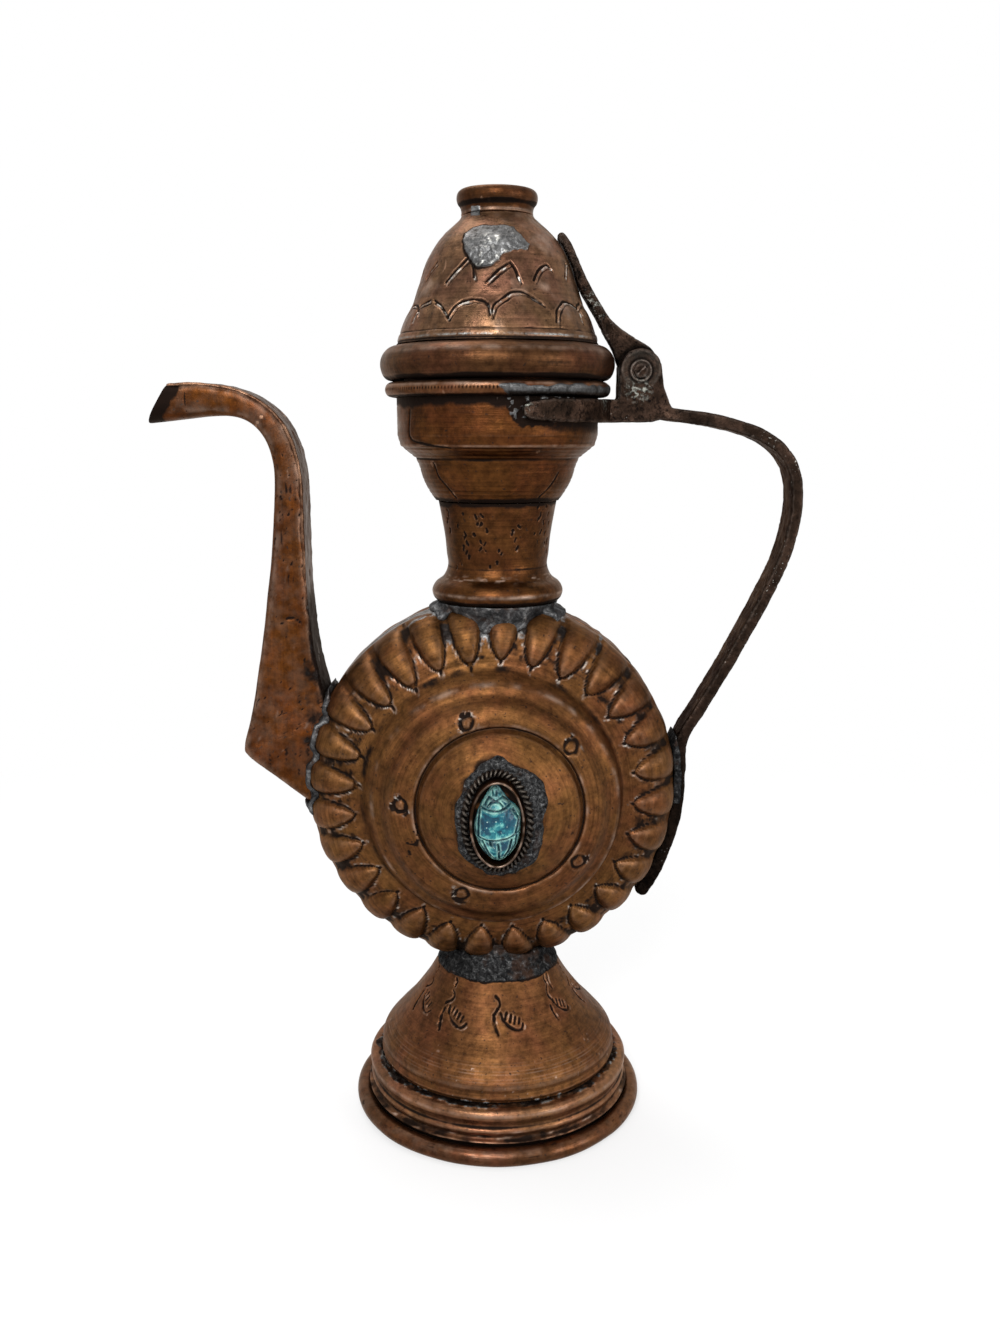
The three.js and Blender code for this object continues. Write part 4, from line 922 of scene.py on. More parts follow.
def cup_relief(face):
    side = face.around(FRONT)
    up = face.height - CUP_BOTTOM
    run = face.run
    cracks_and_reflections = face.strokes(smoothed(CUP_CRACKS_AND_REFLECTIONS), CUP_REFERENCE)
    shaky = 0.12 * face.noise(1.2, 48)
    lift, groove = carved(np.maximum(cracks_and_reflections + shaky, 0), 0.34, 0.2, 0.0)
    rib = peak(run, 17.3, 0.5) * 0.25 - peak(run, 12.2, 0.5) * 0.2
    turned = step_up(np.sin(run * 7.3) * np.sin(run * 3.1 + 1), 0.35, 0.9) * 0.1
    lift = lift - turned
    dark_band = face.dark_band([CUP_BOTTOM + 0.2, CUP_TOP - 0.3], 0.9, 1.2)
    waist = peak(run, 12.1, 0.35) * (0.6 + 0.4 * face.rough(6, 2, 4))
    # Painted shade: darker towards the top of the cup, under the rim's bead.
    shade_under_rim = step_up(up + 0.8 * face.rough(4, 2, 49), 22.6, 25.4) * 0.75
    dark_band = most(dark_band, waist, shade_under_rim)
    # A painted highlight along the rib.
    pale = peak(run, 17.4, 0.22) * 0.3
    streaks = step_up(face.noise(0.5, 46, (0.08, 0.08, 1)), 0.35, 0.8)
    dark_band = most(dark_band, 0.3 * streaks)
    # The smear: dark solder round the yoke's end, running down into painted shade below the yoke; shade adds
    # more painted shade beside and below it.
    smear = inside_distance(side, up, [
        (0.5, 27), (1.5, 23.2), (4.0, 20.2), (6.0, 18.2), (9.0, 19.6), (22.0, 19.6), (22.0, 27),
    ])
    ragged = face.rough(2.2, 3, 44)
    dark = step_up(smear + 0.9 * ragged, -0.3, 0.8)
    tin = dark * step_up(face.rough(0.9, 2, 47), 0.15, 0.5) * step_up(up, 19.0, 21.0)
    shade = step_up(side, 6, 16) * step_up(up, 15.5, 19.5) * 0.6
    return lift + rib + dark * 0.15 + tin * 0.2, {
        "grime_and_shade": most(groove, dark_band, dark, shade) * (1 - 0.9 * tin),
        "bright": pale,
        "tin": tin,
    }


dress(turned_piece("cup", CUP_LINE, inner_line(CUP_LINE), 480, cup_relief, 41, 0.1),
      "pot", CUP_COPPER, "neck_cup")

CUP_RIM_OUTER = smooth_line([
    [25.4, 198.75], [27.4, 198.75], [28.9, 199.3], [29.4, 200.7], [28.9, 202.0], [27.6, 202.6], [25.6, 202.6],
], 8)
CUP_RIM_LINE = even_line(CUP_RIM_OUTER, 0.3)
CUP_RIM_INNER = even_line([[25.3, 202.2], [25.3, 199.2]], 1.0)


def cup_rim_relief(face):
    side = face.around(FRONT)
    up = face.height
    smear = step_up(side + 2.2 * face.rough(5, 3, 52), 1.0, 3.0)
    smear = smear * step_down(side, 41, 46)
    low = step_down(up - 0.5 * face.rough(3, 2, 53), 200.9, 201.8)
    line = peak(up, 200.6, 0.38) * step_down(side, 0, 2)
    pace = side * 6.6 + 1.8 * face.noise(2.2, 54, (1, 1, 0))
    ticks = step_up(np.sin(pace), -0.4, 0.5) * (0.75 + 0.35 * face.noise(4, 55))
    tin = smear * low
    # A dark band at the rim's foot, and painted shade along its top in the gap under the lid.
    dark_band = face.dark_band([198.9, 202.5], 0.35, 1.0)
    return tin * 0.25 - line * ticks * 0.1, {
        "grime_and_shade": most(dark_band, line * ticks * 0.9, tin * step_down(up, 199.4, 200.4) * 0.6),
        "bright": peak(up, 201.6, 0.4) * 0.3 * (1 - tin),
        "tin": tin,
    }


dress(turned_piece("cup_rim", CUP_RIM_LINE, CUP_RIM_INNER, 1000, cup_rim_relief, 51, 0.1),
      "pot", CUP_RIM_COPPER, "cup_rim_ring")

# Lid
LID_RIM_OUTER = smooth_line([
    [25.6, 203.2], [27.6, 202.95], [28.9, 203.2], [30.0, 204.4], [30.6, 206.8], [30.1, 209.1], [28.6, 210.9],
    [26.8, 211.65], [25.0, 211.7],
], 8)
LID_RIM_LINE = even_line(LID_RIM_OUTER, 0.35)
LID_RIM_INNER = even_line([[24.65, 211.2], [24.65, 205.2]], 1.5)


def lid_rim_relief(face):
    up = face.height
    # Painted shade along the bottom of the bead, in the gap over the cup rim.
    dark_band = face.dark_band([203.3], 0.75, 1.3)
    top = face.dark_band([211.6], 0.25, 0.5, 9)
    streak = peak(up, 206.4, 0.8) * step_up(face.rough(9, 2, 63), 0, 0.8)
    return -0.1 * streak, {
        "grime_and_shade": most(dark_band, top, 0.35 * streak),
        # A painted highlight line along the bead's upper curve.
        "bright": peak(up, 209.9, 0.5) * 0.22,
    }


dress(turned_piece("lid_rim", LID_RIM_LINE, LID_RIM_INNER, 420, lid_rim_relief, 61, 0.12),
      "lid", LID_RIM_COPPER, "lid_rim_bead")

DOME_SHARES = [
    [1, 0], [0.94, 0.104], [0.87, 0.211], [0.76, 0.315], [0.67, 0.44], [0.595, 0.558], [0.5, 0.688],
    [0.39, 0.785], [0.24, 0.874], [0.054, 0.962], [0, 1],
]
DOME_LINE = even_line(smooth_line(shares_between(DOME_SHARES, 9.3, 26.1, DOME_BOTTOM, DOME_TOP)), 0.23)
PEAKS = [
    [(-37.8, 15.2), (-29.5, 18.5), (-21.9, 21.5)], [(-21.9, 21.5), (-18.4, 19.4), (-16.2, 16.0)],
    [(-7.6, 14.9), (0.5, 17.7), (9.4, 19.8)], [(9.4, 19.8), (12.6, 18.0), (14.9, 15.2)],
    [(26.0, 15.4), (31.6, 18.2), (38.8, 19.6), (42.2, 18.9)], [(-62.0, 17.0), (-57.4, 19.4), (-53.3, 20.8)],
]
NOTCHES = [
    [(-60.6, 5.4), (-59.4, 8.2), (-57.4, 9.7), (-48.9, 10.8)],
    [(-44.8, 10.7), (-36.4, 8.8), (-29.9, 5.6)], [(-29.9, 5.6), (-26.4, 8.6), (-22.3, 9.8)],
    [(-22.3, 9.8), (-14.6, 10.3), (-6.2, 9.1), (-4.1, 5.8)], [(-4.1, 5.8), (-1.8, 8.8), (3.0, 10.5)],
    [(3.0, 10.5), (8.8, 12.0), (15.5, 12.2), (21.6, 11.2), (28.6, 9.4)],
    [(36.0, 4.5), (37.8, 7.2), (40.7, 8.6)],
    [(40.7, 8.6), (46.4, 10.2), (52.6, 10.1), (59.6, 9.2), (64.3, 7.1)],
]
DOME_REPEATS = 3
KNOB_DAB = [(-7.3, -1.2), (-7.1, 1.3), (-4.3, 1.2), (-4.4, -1.4)]
PATCH_REFERENCE = 16.5
LID_PATCH = [
    (-32.2, 27.8), (-25.4, 30.4), (-15.5, 31.1), (2.0, 30.9), (17.5, 30.3), (22.0, 27.6), (27.0, 24.6),
    (22.3, 23.1), (12.0, 22.9), (3.6, 21.0), (-2.0, 19.4), (-4.4, 18.5), (-13.1, 18.3), (-18.4, 19.4),
    (-22.7, 21.5), (-27.0, 23.4),
]


def dome_relief(face):
    run = face.run
    strokes = smoothed(PEAKS + NOTCHES)
    shaky = 0.13 * face.noise(0.9, 80)
    found = np.maximum(face.strokes(strokes, DOME_REFERENCE, DOME_REPEATS) + shaky, 0)
    lift, groove = carved(found, 0.3, 0.5, 0.05)
    below = face.strokes(shifted(strokes, 1.9, -0.95), DOME_REFERENCE, DOME_REPEATS)
    second, groove_b = carved(np.maximum(below + shaky, 0), 0.24, 0.3, 0.05)
    near = face.strokes(shifted(strokes, 1.0, -0.5), DOME_REFERENCE, DOME_REPEATS)
    glint = peak(near, 0, 0.22) * step_up(face.noise(1.3, 75), -0.2, 0.2)
    lift = lift + second
    broken = face.noise(2.6, 78)
    groove = most(groove * (0.9 + 0.4 * broken), groove_b * (0.65 - 0.5 * broken)) * (1 - 0.7 * glint)
    waves = 0.2 * face.noise(5.5, 76) + 0.06 * face.noise(1.7, 79)
    size = math.radians(PATCH_REFERENCE)
    patch = inside_distance(face.degrees * size, run, [(a * size, b) for a, b in LID_PATCH])
    ragged = 0.45 * face.rough(2.0, 3, 73)
    tin = step_up(patch + ragged, -0.1, 0.35)
    pools = face.rough(1.9, 2, 74)
    lumpy = step_down(run, 26.0, 28.2) * (0.4 + 0.6 * step_up(face.degrees, -20, -8))
    lumps = 0.3 + 0.45 * np.abs(pools) * lumpy + 0.2 * step_up(patch, 0.2, 2.5)
    border = peak(patch + ragged, -0.1, 0.4) * (0.35 + 0.6 * step_down(face.degrees, -14, -2))
    glare = tin * step_up(np.abs(pools) + 0.5 * face.noise(0.7, 72), 0.6, 1.0) * lumpy
    band = run < 2.6
    foot = peak(run - 2.7, 0.15 * broken, 0.28) * (0.7 + 0.4 * broken)
    foot = most(foot, peak(run, 0.5, 0.35))
    hem = peak(run, 1.25, 0.3) * (0.62 + 0.3 * broken)
    seam = inside_distance(face.around(0.0), run, [(-4.6, 36), (-4.2, 14), (0.5, 9), (4.2, 14), (4.6, 36)])
    tin_back = step_up(seam + 1.4 * face.rough(3, 3, 77), -0.4, 0.8) * 0.7
    dark_band = face.dark_band([DOME_BOTTOM], 0.3, 1.1)
    dab = inside_distance(face.around(FRONT), face.height - KNOB_BOTTOM, KNOB_DAB)
    tin = most(tin, step_up(dab, -0.1, 0.2))
    lift = lift * (1 - tin) + waves + tin * lumps + tin_back * 0.25 + 0.16 * band - 0.25 * foot
    return lift, {
        "grime_and_shade": most(groove * (1 - tin), dark_band, foot * 0.7, border * 0.8) * (1 - glare),
        "bright": 0.45 * step_up(waves, 0.06, 0.24) * (1 - tin),
        "tin": most(tin, tin_back * 0.8, hem * 0.8),
        "glare": most(glare, glint * 0.9 * (1 - tin), hem * 0.45),
    }


dress(turned_piece("dome", DOME_LINE, inner_line(DOME_LINE), 760, dome_relief, 71, 0.08),
      "lid", DOME_COPPER, "lid_dome")

KNOB_OUTER = smooth_line([
    [9.25, 244.0], [9.2, 244.9], [9.5, 246.0], [10.15, 246.9], [10.4, 248.0], [10.2, 249.2], [9.5, 249.95],
    [8.6, 250.08], [7.7, 249.75], [7.2, 249.1], [6.2, 248.9], [3.0, 248.8], [0.05, 248.8],
], 8)
KNOB_LINE = even_line(KNOB_OUTER, 0.3)
KNOB_INNER = np.array([[0.05, 244.0], [4.6, 244.0]])


def knob_relief(face):
    dab = inside_distance(face.around(FRONT), face.height - KNOB_BOTTOM, KNOB_DAB)
    tin = step_up(dab + 0.25 * face.rough(1.2, 2, 83), -0.1, 0.2)
    dish = step_down(face.radius, 7.2, 7.9) * step_up(face.height, 248.5, 248.7)
    dark_band = face.dark_band([KNOB_BOTTOM], 0.15, 0.3)
    # Painted shadow under the knob's lip.
    under = face.dark_band([KNOB_BOTTOM + 2.3], 0.6, 1.2, 3)
    pale = peak(face.height - KNOB_BOTTOM, 0.5, 0.3) * 0.3
    return tin * 0.3, {"grime_and_shade": most(dark_band, under, dish * 0.7) * (1 - tin), "bright": pale, "tin": tin}


dress(turned_piece("knob", KNOB_LINE, KNOB_INNER, 240, knob_relief, 81, 0.07),
      "lid", KNOB_COPPER, "lid_knob")


# Belly

BAND_REACH = BELLY_RADIUS - PETAL_TIP_RADIUS
BAND_DROP = PETAL_TIP_DEPTH - BELLY_RIM_DEPTH
FLOOR_DEPTH = PETAL_TIP_DEPTH - PETAL_RISE / 2
STEP_RISE = PLATEAU_DEPTH - FLOOR_DEPTH
DOME_RISE = BELLY_DEPTH - INNER_DOME_DEPTH
DOME_ROUND = (GROOVE_RADIUS ** 2 + DOME_RISE ** 2) / (2 * DOME_RISE)
BAND_ROWS = 50
BELLY_COLUMNS = 20 * PETAL_COUNT
PETAL_RUNS = [0, 0.04, 0.12, 0.26, 0.45, 0.7, 0.92, 1]
PETAL_RISE_SHARES = [0.06, 0.3, 0.68, 0.98, 1.12, 0.98, 0.45, 0]
PETAL_FLOOR_SHARES = [0.5, 0.55, 0.7, 0.85, 0.9, 0.8, 0.35, 0]
PETAL_WIDTH_RUNS = [0, 0.02, 0.057, 0.155, 0.3, 0.51, 1]
PETAL_WIDTH_SHARES = [0, 0.13, 0.28, 0.51, 0.69, 0.8, 0.85]


def dome_depth(radius):
    return BELLY_DEPTH - DOME_ROUND + np.sqrt(DOME_ROUND ** 2 - radius ** 2)


def belly_lines():
    """The stamped profile from the seam to the centre: [radius, depth], and each point's place in
    the petal band, from 1 at the rim to 0 at the tips and below 0 past them."""
    wall = np.column_stack([np.full(9, BELLY_RADIUS), np.linspace(SEAM_EDGE, BELLY_RIM_DEPTH, 9)])
    band = np.linspace(1, 0, BAND_ROWS + 1)[1:]
    turn = band * np.pi / 2
    arc = np.column_stack([
        PETAL_TIP_RADIUS + BAND_REACH * np.sin(turn),
        BELLY_RIM_DEPTH + BAND_DROP * np.cos(turn),
    ])
    middle = (PLATEAU_RADIUS + GROOVE_RADIUS) / 2
    face = smooth_line([
        arc[-1] - [0, PETAL_RISE * 0.5],
        [PETAL_TIP_RADIUS - 1.2, FLOOR_DEPTH + STEP_RISE * 0.03],
        [PETAL_TIP_RADIUS - 2.2, FLOOR_DEPTH + STEP_RISE * 0.2],
        [PLATEAU_RADIUS - 0.1, FLOOR_DEPTH + STEP_RISE * 0.55],
        [PLATEAU_RADIUS - 0.9, FLOOR_DEPTH + STEP_RISE * 0.86],
        [PLATEAU_RADIUS - 1.8, PLATEAU_DEPTH + 0.3],
        [29.9, PLATEAU_DEPTH + 1.6],
        [middle, PLATEAU_DEPTH + (INNER_DOME_DEPTH - PLATEAU_DEPTH) * 0.68],
        [24.6, INNER_DOME_DEPTH - 0.75],
        [GROOVE_RADIUS + GROOVE_DEPTH, INNER_DOME_DEPTH - 0.35],
        [GROOVE_RADIUS + 0.1, INNER_DOME_DEPTH - 1.0],
        [GROOVE_RADIUS - 0.6, INNER_DOME_DEPTH - 0.2],
    ], 8)
    radii = np.linspace(GROOVE_RADIUS - 1.1, 0.4, 44)
    dome_part = np.column_stack([radii, dome_depth(radii)])
    inner = even_line(np.vstack([face[1:], dome_part]), 0.45)
    line = np.vstack([wall, arc, inner])
    place = np.r_[np.full(9, 1.0), band, -0.02 - distances(inner) / 19.7]
    return line, place


# The front half was struck by hand: its plateau and inner dome sit off its centre.
PLATEAU_SHIFT = (1.1, -1.5)
DOME_SHIFT = (2.3, -0.7)
RING_MARKS = [(20.6, 16.1), (-6.2, 22.4), (-23.3, 0.3), (-7.7, -23.6), (22.8, -14.9)]
SETTING_OVAL = (8.5, 12.4)


def belly_half(name, side, marked, seed):
    line, place = belly_lines()
    rows, columns = len(line), BELLY_COLUMNS
    tips = int(np.argmax(place < 0))
    normals = np.vstack([line_normals(part[:, [1, 0]])[:, [1, 0]] for part in (line[:tips], line[tips:])])
    normals = np.where((normals @ np.array([1.0, 1.0]))[:, None] < 0, -normals, normals)
    turn = full_turn(columns)
    turns = np.tile(turn, rows)
    radius = np.repeat(line[:, 0], columns)
    depth = np.repeat(line[:, 1], columns)
    run = np.repeat(place, columns)
    normal_r = np.repeat(normals[:, 0], columns)
    normal_d = np.repeat(normals[:, 1], columns)
    on_plateau = step_down(radius, 32.5, 35.5) * marked
    on_dome = step_down(radius, 23, 28) * marked
    shift_x = PLATEAU_SHIFT[0] * on_plateau + (DOME_SHIFT[0] - PLATEAU_SHIFT[0]) * on_dome
    shift_z = PLATEAU_SHIFT[1] * on_plateau + (DOME_SHIFT[1] - PLATEAU_SHIFT[1]) * on_dome
    face = Surface(np.column_stack([
        radius * np.cos(turns) + shift_x, side * depth, radius * np.sin(turns) + shift_z,
    ]))

    petal = turns * PETAL_COUNT / (2 * np.pi) - PETAL_TURN_SHARE
    number = np.round(petal)
    across = 2 * np.abs(petal - number)
    hand = lattice_noise(np.column_stack([number * 3.7, number * 0, number * 0 + side]), 1, seed + 1)
    length = 1.03 + 0.085 * np.cos(turns + np.pi / 4) + 0.035 * hand
    drop = PETAL_RISE * np.interp(run, PETAL_RUNS, PETAL_FLOOR_SHARES) * (run >= 0)
    run = np.where(run < 0.995, 1 - (1 - run) * length, run)
    half = np.interp(run, PETAL_WIDTH_RUNS, PETAL_WIDTH_SHARES)
    half = np.where(run < 0, run * 1.6, half)
    rise = PETAL_RISE * np.interp(run, PETAL_RUNS, PETAL_RISE_SHARES)
    inside = np.clip(across / most(half, 1e-3), 0, 1)
    body = np.where(half > 0, (1 - inside ** 2.6) ** 0.7, 0)
    lift = rise * body - drop
    pitch = np.pi * radius / PETAL_COUNT
    away = (across - half) * pitch * 0.93
    lined = step_up(run, -0.13, -0.07) * step_down(run, 0.42, 0.62)
    wander = 0.16 * face.noise(1.8, seed + 12)
    first, groove_a = carved(np.abs(away - 0.25 + wander), 0.24, 0.32, 0.1)
    second, groove_b = carved(np.abs(away - 1.25 + wander), 0.15, 0.08, 0.0)
    lift = lift + lined * (first + second)
    ragged = face.rough(3.0, 3, seed + 2)
    # Painted shade in the channels between the petals and along their edges.
    crease_shade = peak(np.maximum(-away, 0), 0, 0.4) * step_up(run, 0.25, 0.45) * step_down(run, 0.8, 0.97)
    floor = step_up(away, -0.1, 0.5) * step_up(run, -0.02, 0.1)
    specks = step_up(face.rough(1.1, 3, seed + 3), 0.15, 0.8)
    grime_and_shade = most(
        lined * groove_a * (0.95 + 0.4 * ragged), lined * groove_b * 0.25, crease_shade * (0.5 + 0.5 * ragged),
        floor * (0.24 + 0.4 * ragged + 0.3 * specks),
    )
    # Painted glints beside the petals' outlines.
    silver = peak(away - 0.72, -wander, 0.2) * step_up(face.noise(1.9, seed + 4), -0.25, 0.3)
    bright = lined * silver * 0.35
    glare = lined * silver * step_up(face.noise(1.1, seed + 13), -0.2, 0.4) * 0.8
    over = np.degrees(turns)
    top = peak(over, 88, 24)
    right = peak(over, 48, 16) * 0.55
    floor_here = step_up(away, -0.3, 0.3) * step_up(run, 0.12, 0.4)
    outer_top = step_up(run, 0.72, 0.86) * peak(over, 90, 23) * 1.5
    tin = most(floor_here * (top + right), outer_top) * (0.75 + 0.6 * ragged)
    tin = np.clip(tin, 0, 1) * step_up(run, -0.02, 0.05)
    lift = lift + 0.3 * tin * (1 + 0.8 * ragged)
    # Darker along the foot of the step up to the plateau.
    step_foot_dark = peak(radius - PETAL_TIP_RADIUS, -2.0, 0.7) * (0.36 + 0.35 * ragged)
    groove_line = peak(radius - GROOVE_RADIUS, 0.1, 0.2)
    grime_and_shade = most(grime_and_shade, step_foot_dark * (run < 0), groove_line * (0.75 + 0.3 * ragged))
    rim_tin = step_down(depth, 3.0, 4.2) * np.exp(-((over - 112) / 48) ** 6) * (0.95 + 0.3 * ragged)
    tin = most(tin, np.clip(rim_tin, 0, 1))
    rim_dirt = step_down(depth, 0.9, 2.4) * (0.5 + 0.5 * ragged) * (1 - np.clip(rim_tin, 0, 1))
    grime_and_shade = most(grime_and_shade, rim_dirt)
    streaky = step_up(face.rough(3.5, 2, seed + 14), -0.3, 0.6)
    # Painted highlight lines at the plateau's edge and on the lip outside the groove.
    bright = most(bright, peak(radius - PLATEAU_RADIUS, -1.3, 0.45) * 0.4 * streaky)
    bright = most(bright, peak(radius - GROOVE_RADIUS, 0.8, 0.3) * 0.4 * streaky)
    x, z = face.points[:, 0], face.points[:, 2]
    if marked:
        for mark_x, mark_z in RING_MARKS:
            near = np.hypot(x - mark_x, z - mark_z)
            near = near + 0.3 * face.noise(1.1, seed + 7)
            patchy = np.clip(0.9 + 0.5 * face.noise(1.3, seed + 11), 0.5, 1.2)
            ring = peak(near, 1.7, 0.48) * patchy
            button = step_down(near, 0.9, 1.5)
            lift = lift - 0.5 * ring + 0.1 * button
            crust = peak(near, 2.3, 0.7) * step_up(face.noise(2.4, seed + 6), 0.0, 0.5)
            bits = step_up(face.noise(0.6, seed + 8), 0.0, 0.4)
            grime_and_shade = most(grime_and_shade, ring * 0.95, button * 0.25, crust * (1 - bits))
            glare = most(glare, crust * bits)
        dents = 0.3 * face.noise(2.8, seed + 10) * peak(np.hypot(x - 13, z + 25), 0, 8)
        lift = lift + dents
        from_x, from_z = x - (SETTING_X - BELLY_X), z - (SETTING_Z - BELLY_Z)
        oval = np.hypot(from_x / SETTING_OVAL[0], from_z / SETTING_OVAL[1])
        smudge = np.hypot((x + 20.4) / 2.2, (z + 7.5) / 4.2) + 0.5 * ragged
        specked = step_up(face.rough(1.0, 2, seed + 9), 0.0, 0.5)
        grime_and_shade = most(grime_and_shade, step_down(smudge, 0.6, 1.1) * specked)
        grime_and_shade = most(grime_and_shade, step_down(oval, 1.1, 1.5) * (0.6 + 0.6 * ragged))
    scratches = face.noise(1.2, seed + 5) * (radius < 36)
    grime_and_shade = most(grime_and_shade, 0.5 * step_up(scratches + 0.5 * ragged, 0.95, 1.2))
    lift = lift + 0.1 * face.noise(8, seed)

    radius = radius + normal_r * lift
    depth = depth + normal_d * lift
    outer = np.column_stack([
        BELLY_X + radius * np.cos(turns) + shift_x, side * depth, BELLY_Z + radius * np.sin(turns) + shift_z,
    ])
    hollow = [[0.4, BELLY_DEPTH - WALL], [14, dome_depth(14) - WALL], [20.5, 25.9], [33.6, 15.15],
              [46, 7.3], [BELLY_RADIUS - WALL, SEAM_EDGE]]
    inner = np.vstack([np.column_stack([
        BELLY_X + r * np.cos(turn), np.full(columns, side * d), BELLY_Z + r * np.sin(turn),
    ]) for r, d in hollow])
    count = len(hollow) * columns
    marks = {
        "grime_and_shade": np.r_[np.clip(grime_and_shade, 0, 1), np.zeros(count)],
        "bright": np.r_[np.clip(bright, 0, 1), np.zeros(count)],
        "tin": np.r_[tin, np.zeros(count)],
        "glare": np.r_[glare, np.zeros(count)],
        "level": np.tile(level_columns(columns), rows + len(hollow)),
    }
    faces = ring_faces(rows + len(hollow), columns)
    if side > 0:
        faces = [corners[::-1] for corners in faces]
    return new_object(name, np.vstack([outer, inner]), faces, marks)


dress(belly_half("belly_front", -1, True, 101), "pot", BELLY_COPPER, "belly_front_shell")
dress(belly_half("belly_rear", 1, False, 131), "pot", BELLY_COPPER, "belly_rear_shell")


# Setting

SCARAB_STROKES = [
    [(-1.2, 8.6), (-1.0, 7.9)], [(-0.2, 8.6), (-0.3, 7.8)],
    [(-3.0, 5.6), (-2.0, 7.2), (-0.4, 6.4), (1.3, 7.2), (3.1, 5.8)],
    [(-2.4, 4.9), (-1.6, 6.0), (-0.5, 6.3), (0.6, 6.0), (1.3, 5.2)],
    [(-4.1, 4.6), (-2.0, 4.2), (0.4, 4.2), (2.4, 4.9), (4.4, 5.9)],
    [(-4.4, 4.0), (-4.7, 1.0), (-4.7, -2.4)], [(3.9, 4.3), (5.4, 1.7), (4.5, -1.8)],
    [(-5.0, -2.7), (-2.8, -3.4), (-0.6, -3.5), (2.4, -2.9), (5.5, -1.5)],
    [(0.2, -4.4), (0.35, -6.8), (0.5, -9.4)], [(0.35, -4.9), (0.5, -7.2)], [(-1.9, -3.6), (-1.5, -5.0)],
    [(-3.7, -3.8), (-2.2, -7.4), (-0.8, -9.3)], [(-4.6, -4.6), (-3.6, -6.6), (-1.8, -9.0)],
    [(3.6, -3.2), (3.0, -6.0), (1.5, -9.1)], [(4.8, -2.4), (4.5, -5.4), (2.5, -8.7)],
]
SCARAB_POOLS = [
    (-2.2, 1.3, 2.0), (2.6, 1.6, 1.7), (-2.4, -1.2, 1.2), (-1.9, 6.4, 1.1), (2.0, 6.5, 1.1),
    (2.2, -5.4, 1.3),
]
STONE_OUTLINE = [
    (6.0, 0.8), (5.7, 3.2), (4.4, 4.9), (3.0, 6.1), (1.6, 7.9), (0.2, 9.8), (-1.0, 10.1), (-2.4, 8.2),
    (-4.1, 5.2), (-5.5, 1.9), (-5.9, -1.5), (-5.0, -4.9), (-3.2, -7.8), (-1.0, -9.8), (1.2, -9.9),
    (4.0, -7.3), (5.7, -3.5),
]
BEZEL_GAP = 0.35
BEZEL_SECTION = np.array([
    [0, 33.6], [0, 38.0], [0.06, 38.55], [0.25, 38.8], [0.55, 38.8], [0.75, 38.55], [0.8, 38.0], [0.8, 33.6],
])
BEZEL_TOP = 38.7
# Each lobe of the solder round the setting is its place in degrees, its breadth and how far it spreads.
HALO_LOBES = [(20, 34, 2.0), (95, 30, 1.2), (-38, 20, 2.4), (150, 26, 0.6)]


def face_depth(x, z):
    """The front dome's depth at a point given from the setting's middle."""
    from_x = x + SETTING_X - BELLY_X - DOME_SHIFT[0]
    from_z = z + SETTING_Z - BELLY_Z - DOME_SHIFT[1]
    return dome_depth(np.minimum(np.hypot(from_x, from_z), DOME_ROUND * 0.9))


def set_points(x, depth, z):
    """Points of the setting, from their places round its middle."""
    return np.column_stack([SETTING_X + x, -depth, SETTING_Z + z])


def oval_points(margin, turn):
    """An oval some way outside the stone, from the setting's middle."""
    return (SCARAB_WIDTH / 2 + margin) * np.cos(turn), (SCARAB_HEIGHT / 2 + margin) * np.sin(turn)


def stone_points(turn):
    """The stone's outline: an egg with its narrow head up."""
    x, z = smooth_line(STONE_OUTLINE + STONE_OUTLINE[:3], 12).T
    angle = np.arctan2(z, x)
    order = np.argsort(angle)
    reach = np.interp(turn, angle[order], np.hypot(x, z)[order], period=2 * np.pi)
    return reach * np.cos(turn), reach * np.sin(turn)


def scarab_piece():
    columns, rows = 180, 56
    shares = np.repeat(np.sin(np.linspace(np.pi / 2, 0.02, rows)), columns)
    x, z = [place * shares for place in stone_points(np.tile(full_turn(columns), rows))]
    flat = Surface(np.column_stack([x, z, z * 0]))
    distance = stroke_distance(x, z, SCARAB_STROKES, 1.2)
    lift, groove = carved(distance, 0.2, 0.55, 0.5)
    ridge = most(crests(distance, 0.2), step_up(shares, 0.84, 0.95) * 0.9)
    pool = 0
    for pool_x, pool_z, size in SCARAB_POOLS:
        near = np.hypot(x - pool_x, z - pool_z) / size + 0.35 * flat.noise(0.9, 202)
        pool = most(pool, step_down(near, 0.5, 1.1) * 0.85)
    head_low = -0.7 * step_up(z, 3.6, 8.5)
    wing = -0.25 * step_down(z, -3.4, -2.8)
    relief = lift + head_low + wing + 0.07 * flat.rough(1.1, 3, 201)
    height = SCARAB_THICKNESS * (1 - shares ** 3) ** 0.62
    inside = step_down(shares, 0.95, 0.999)
    outer = set_points(x, face_depth(x * 0.6, z * 0.6) - 0.4 + height + inside * relief, z)
    skirt = outer[:columns] * [1, 0, 1] - [0, BELLY_DEPTH - 3.5, 0]
    marks = {"grime_and_shade": groove * inside * 0.95, "bright": ridge * inside, "pool": pool}
    marks = {key: np.r_[np.zeros(columns), values] for key, values in marks.items()}
    return new_object("scarab_stone", np.vstack([skirt, outer]), ring_faces(rows + 1, columns, False), marks)


def bezel_piece():
    """The copper wall round the stone, its edge round and rubbed."""
    columns = 160
    rings = []
    for out, depth in BEZEL_SECTION:
        x, z = oval_points(BEZEL_GAP + out, full_turn(columns))
        rings.append(set_points(x, np.full(columns, depth), z))
    points = np.vstack(rings)
    points = points + 0.08 * lattice_noise(points, 3, 211)[:, None] * [0.6, 1, 0.6]
    worn = np.repeat(BEZEL_SECTION[:, 1] > BEZEL_TOP, columns) * (0.3 + 0.5 * lattice_noise(points, 1.5, 212))
    return new_object("bezel", points, ring_faces(len(rings), columns), {"bright": np.clip(worn, 0, 1)})


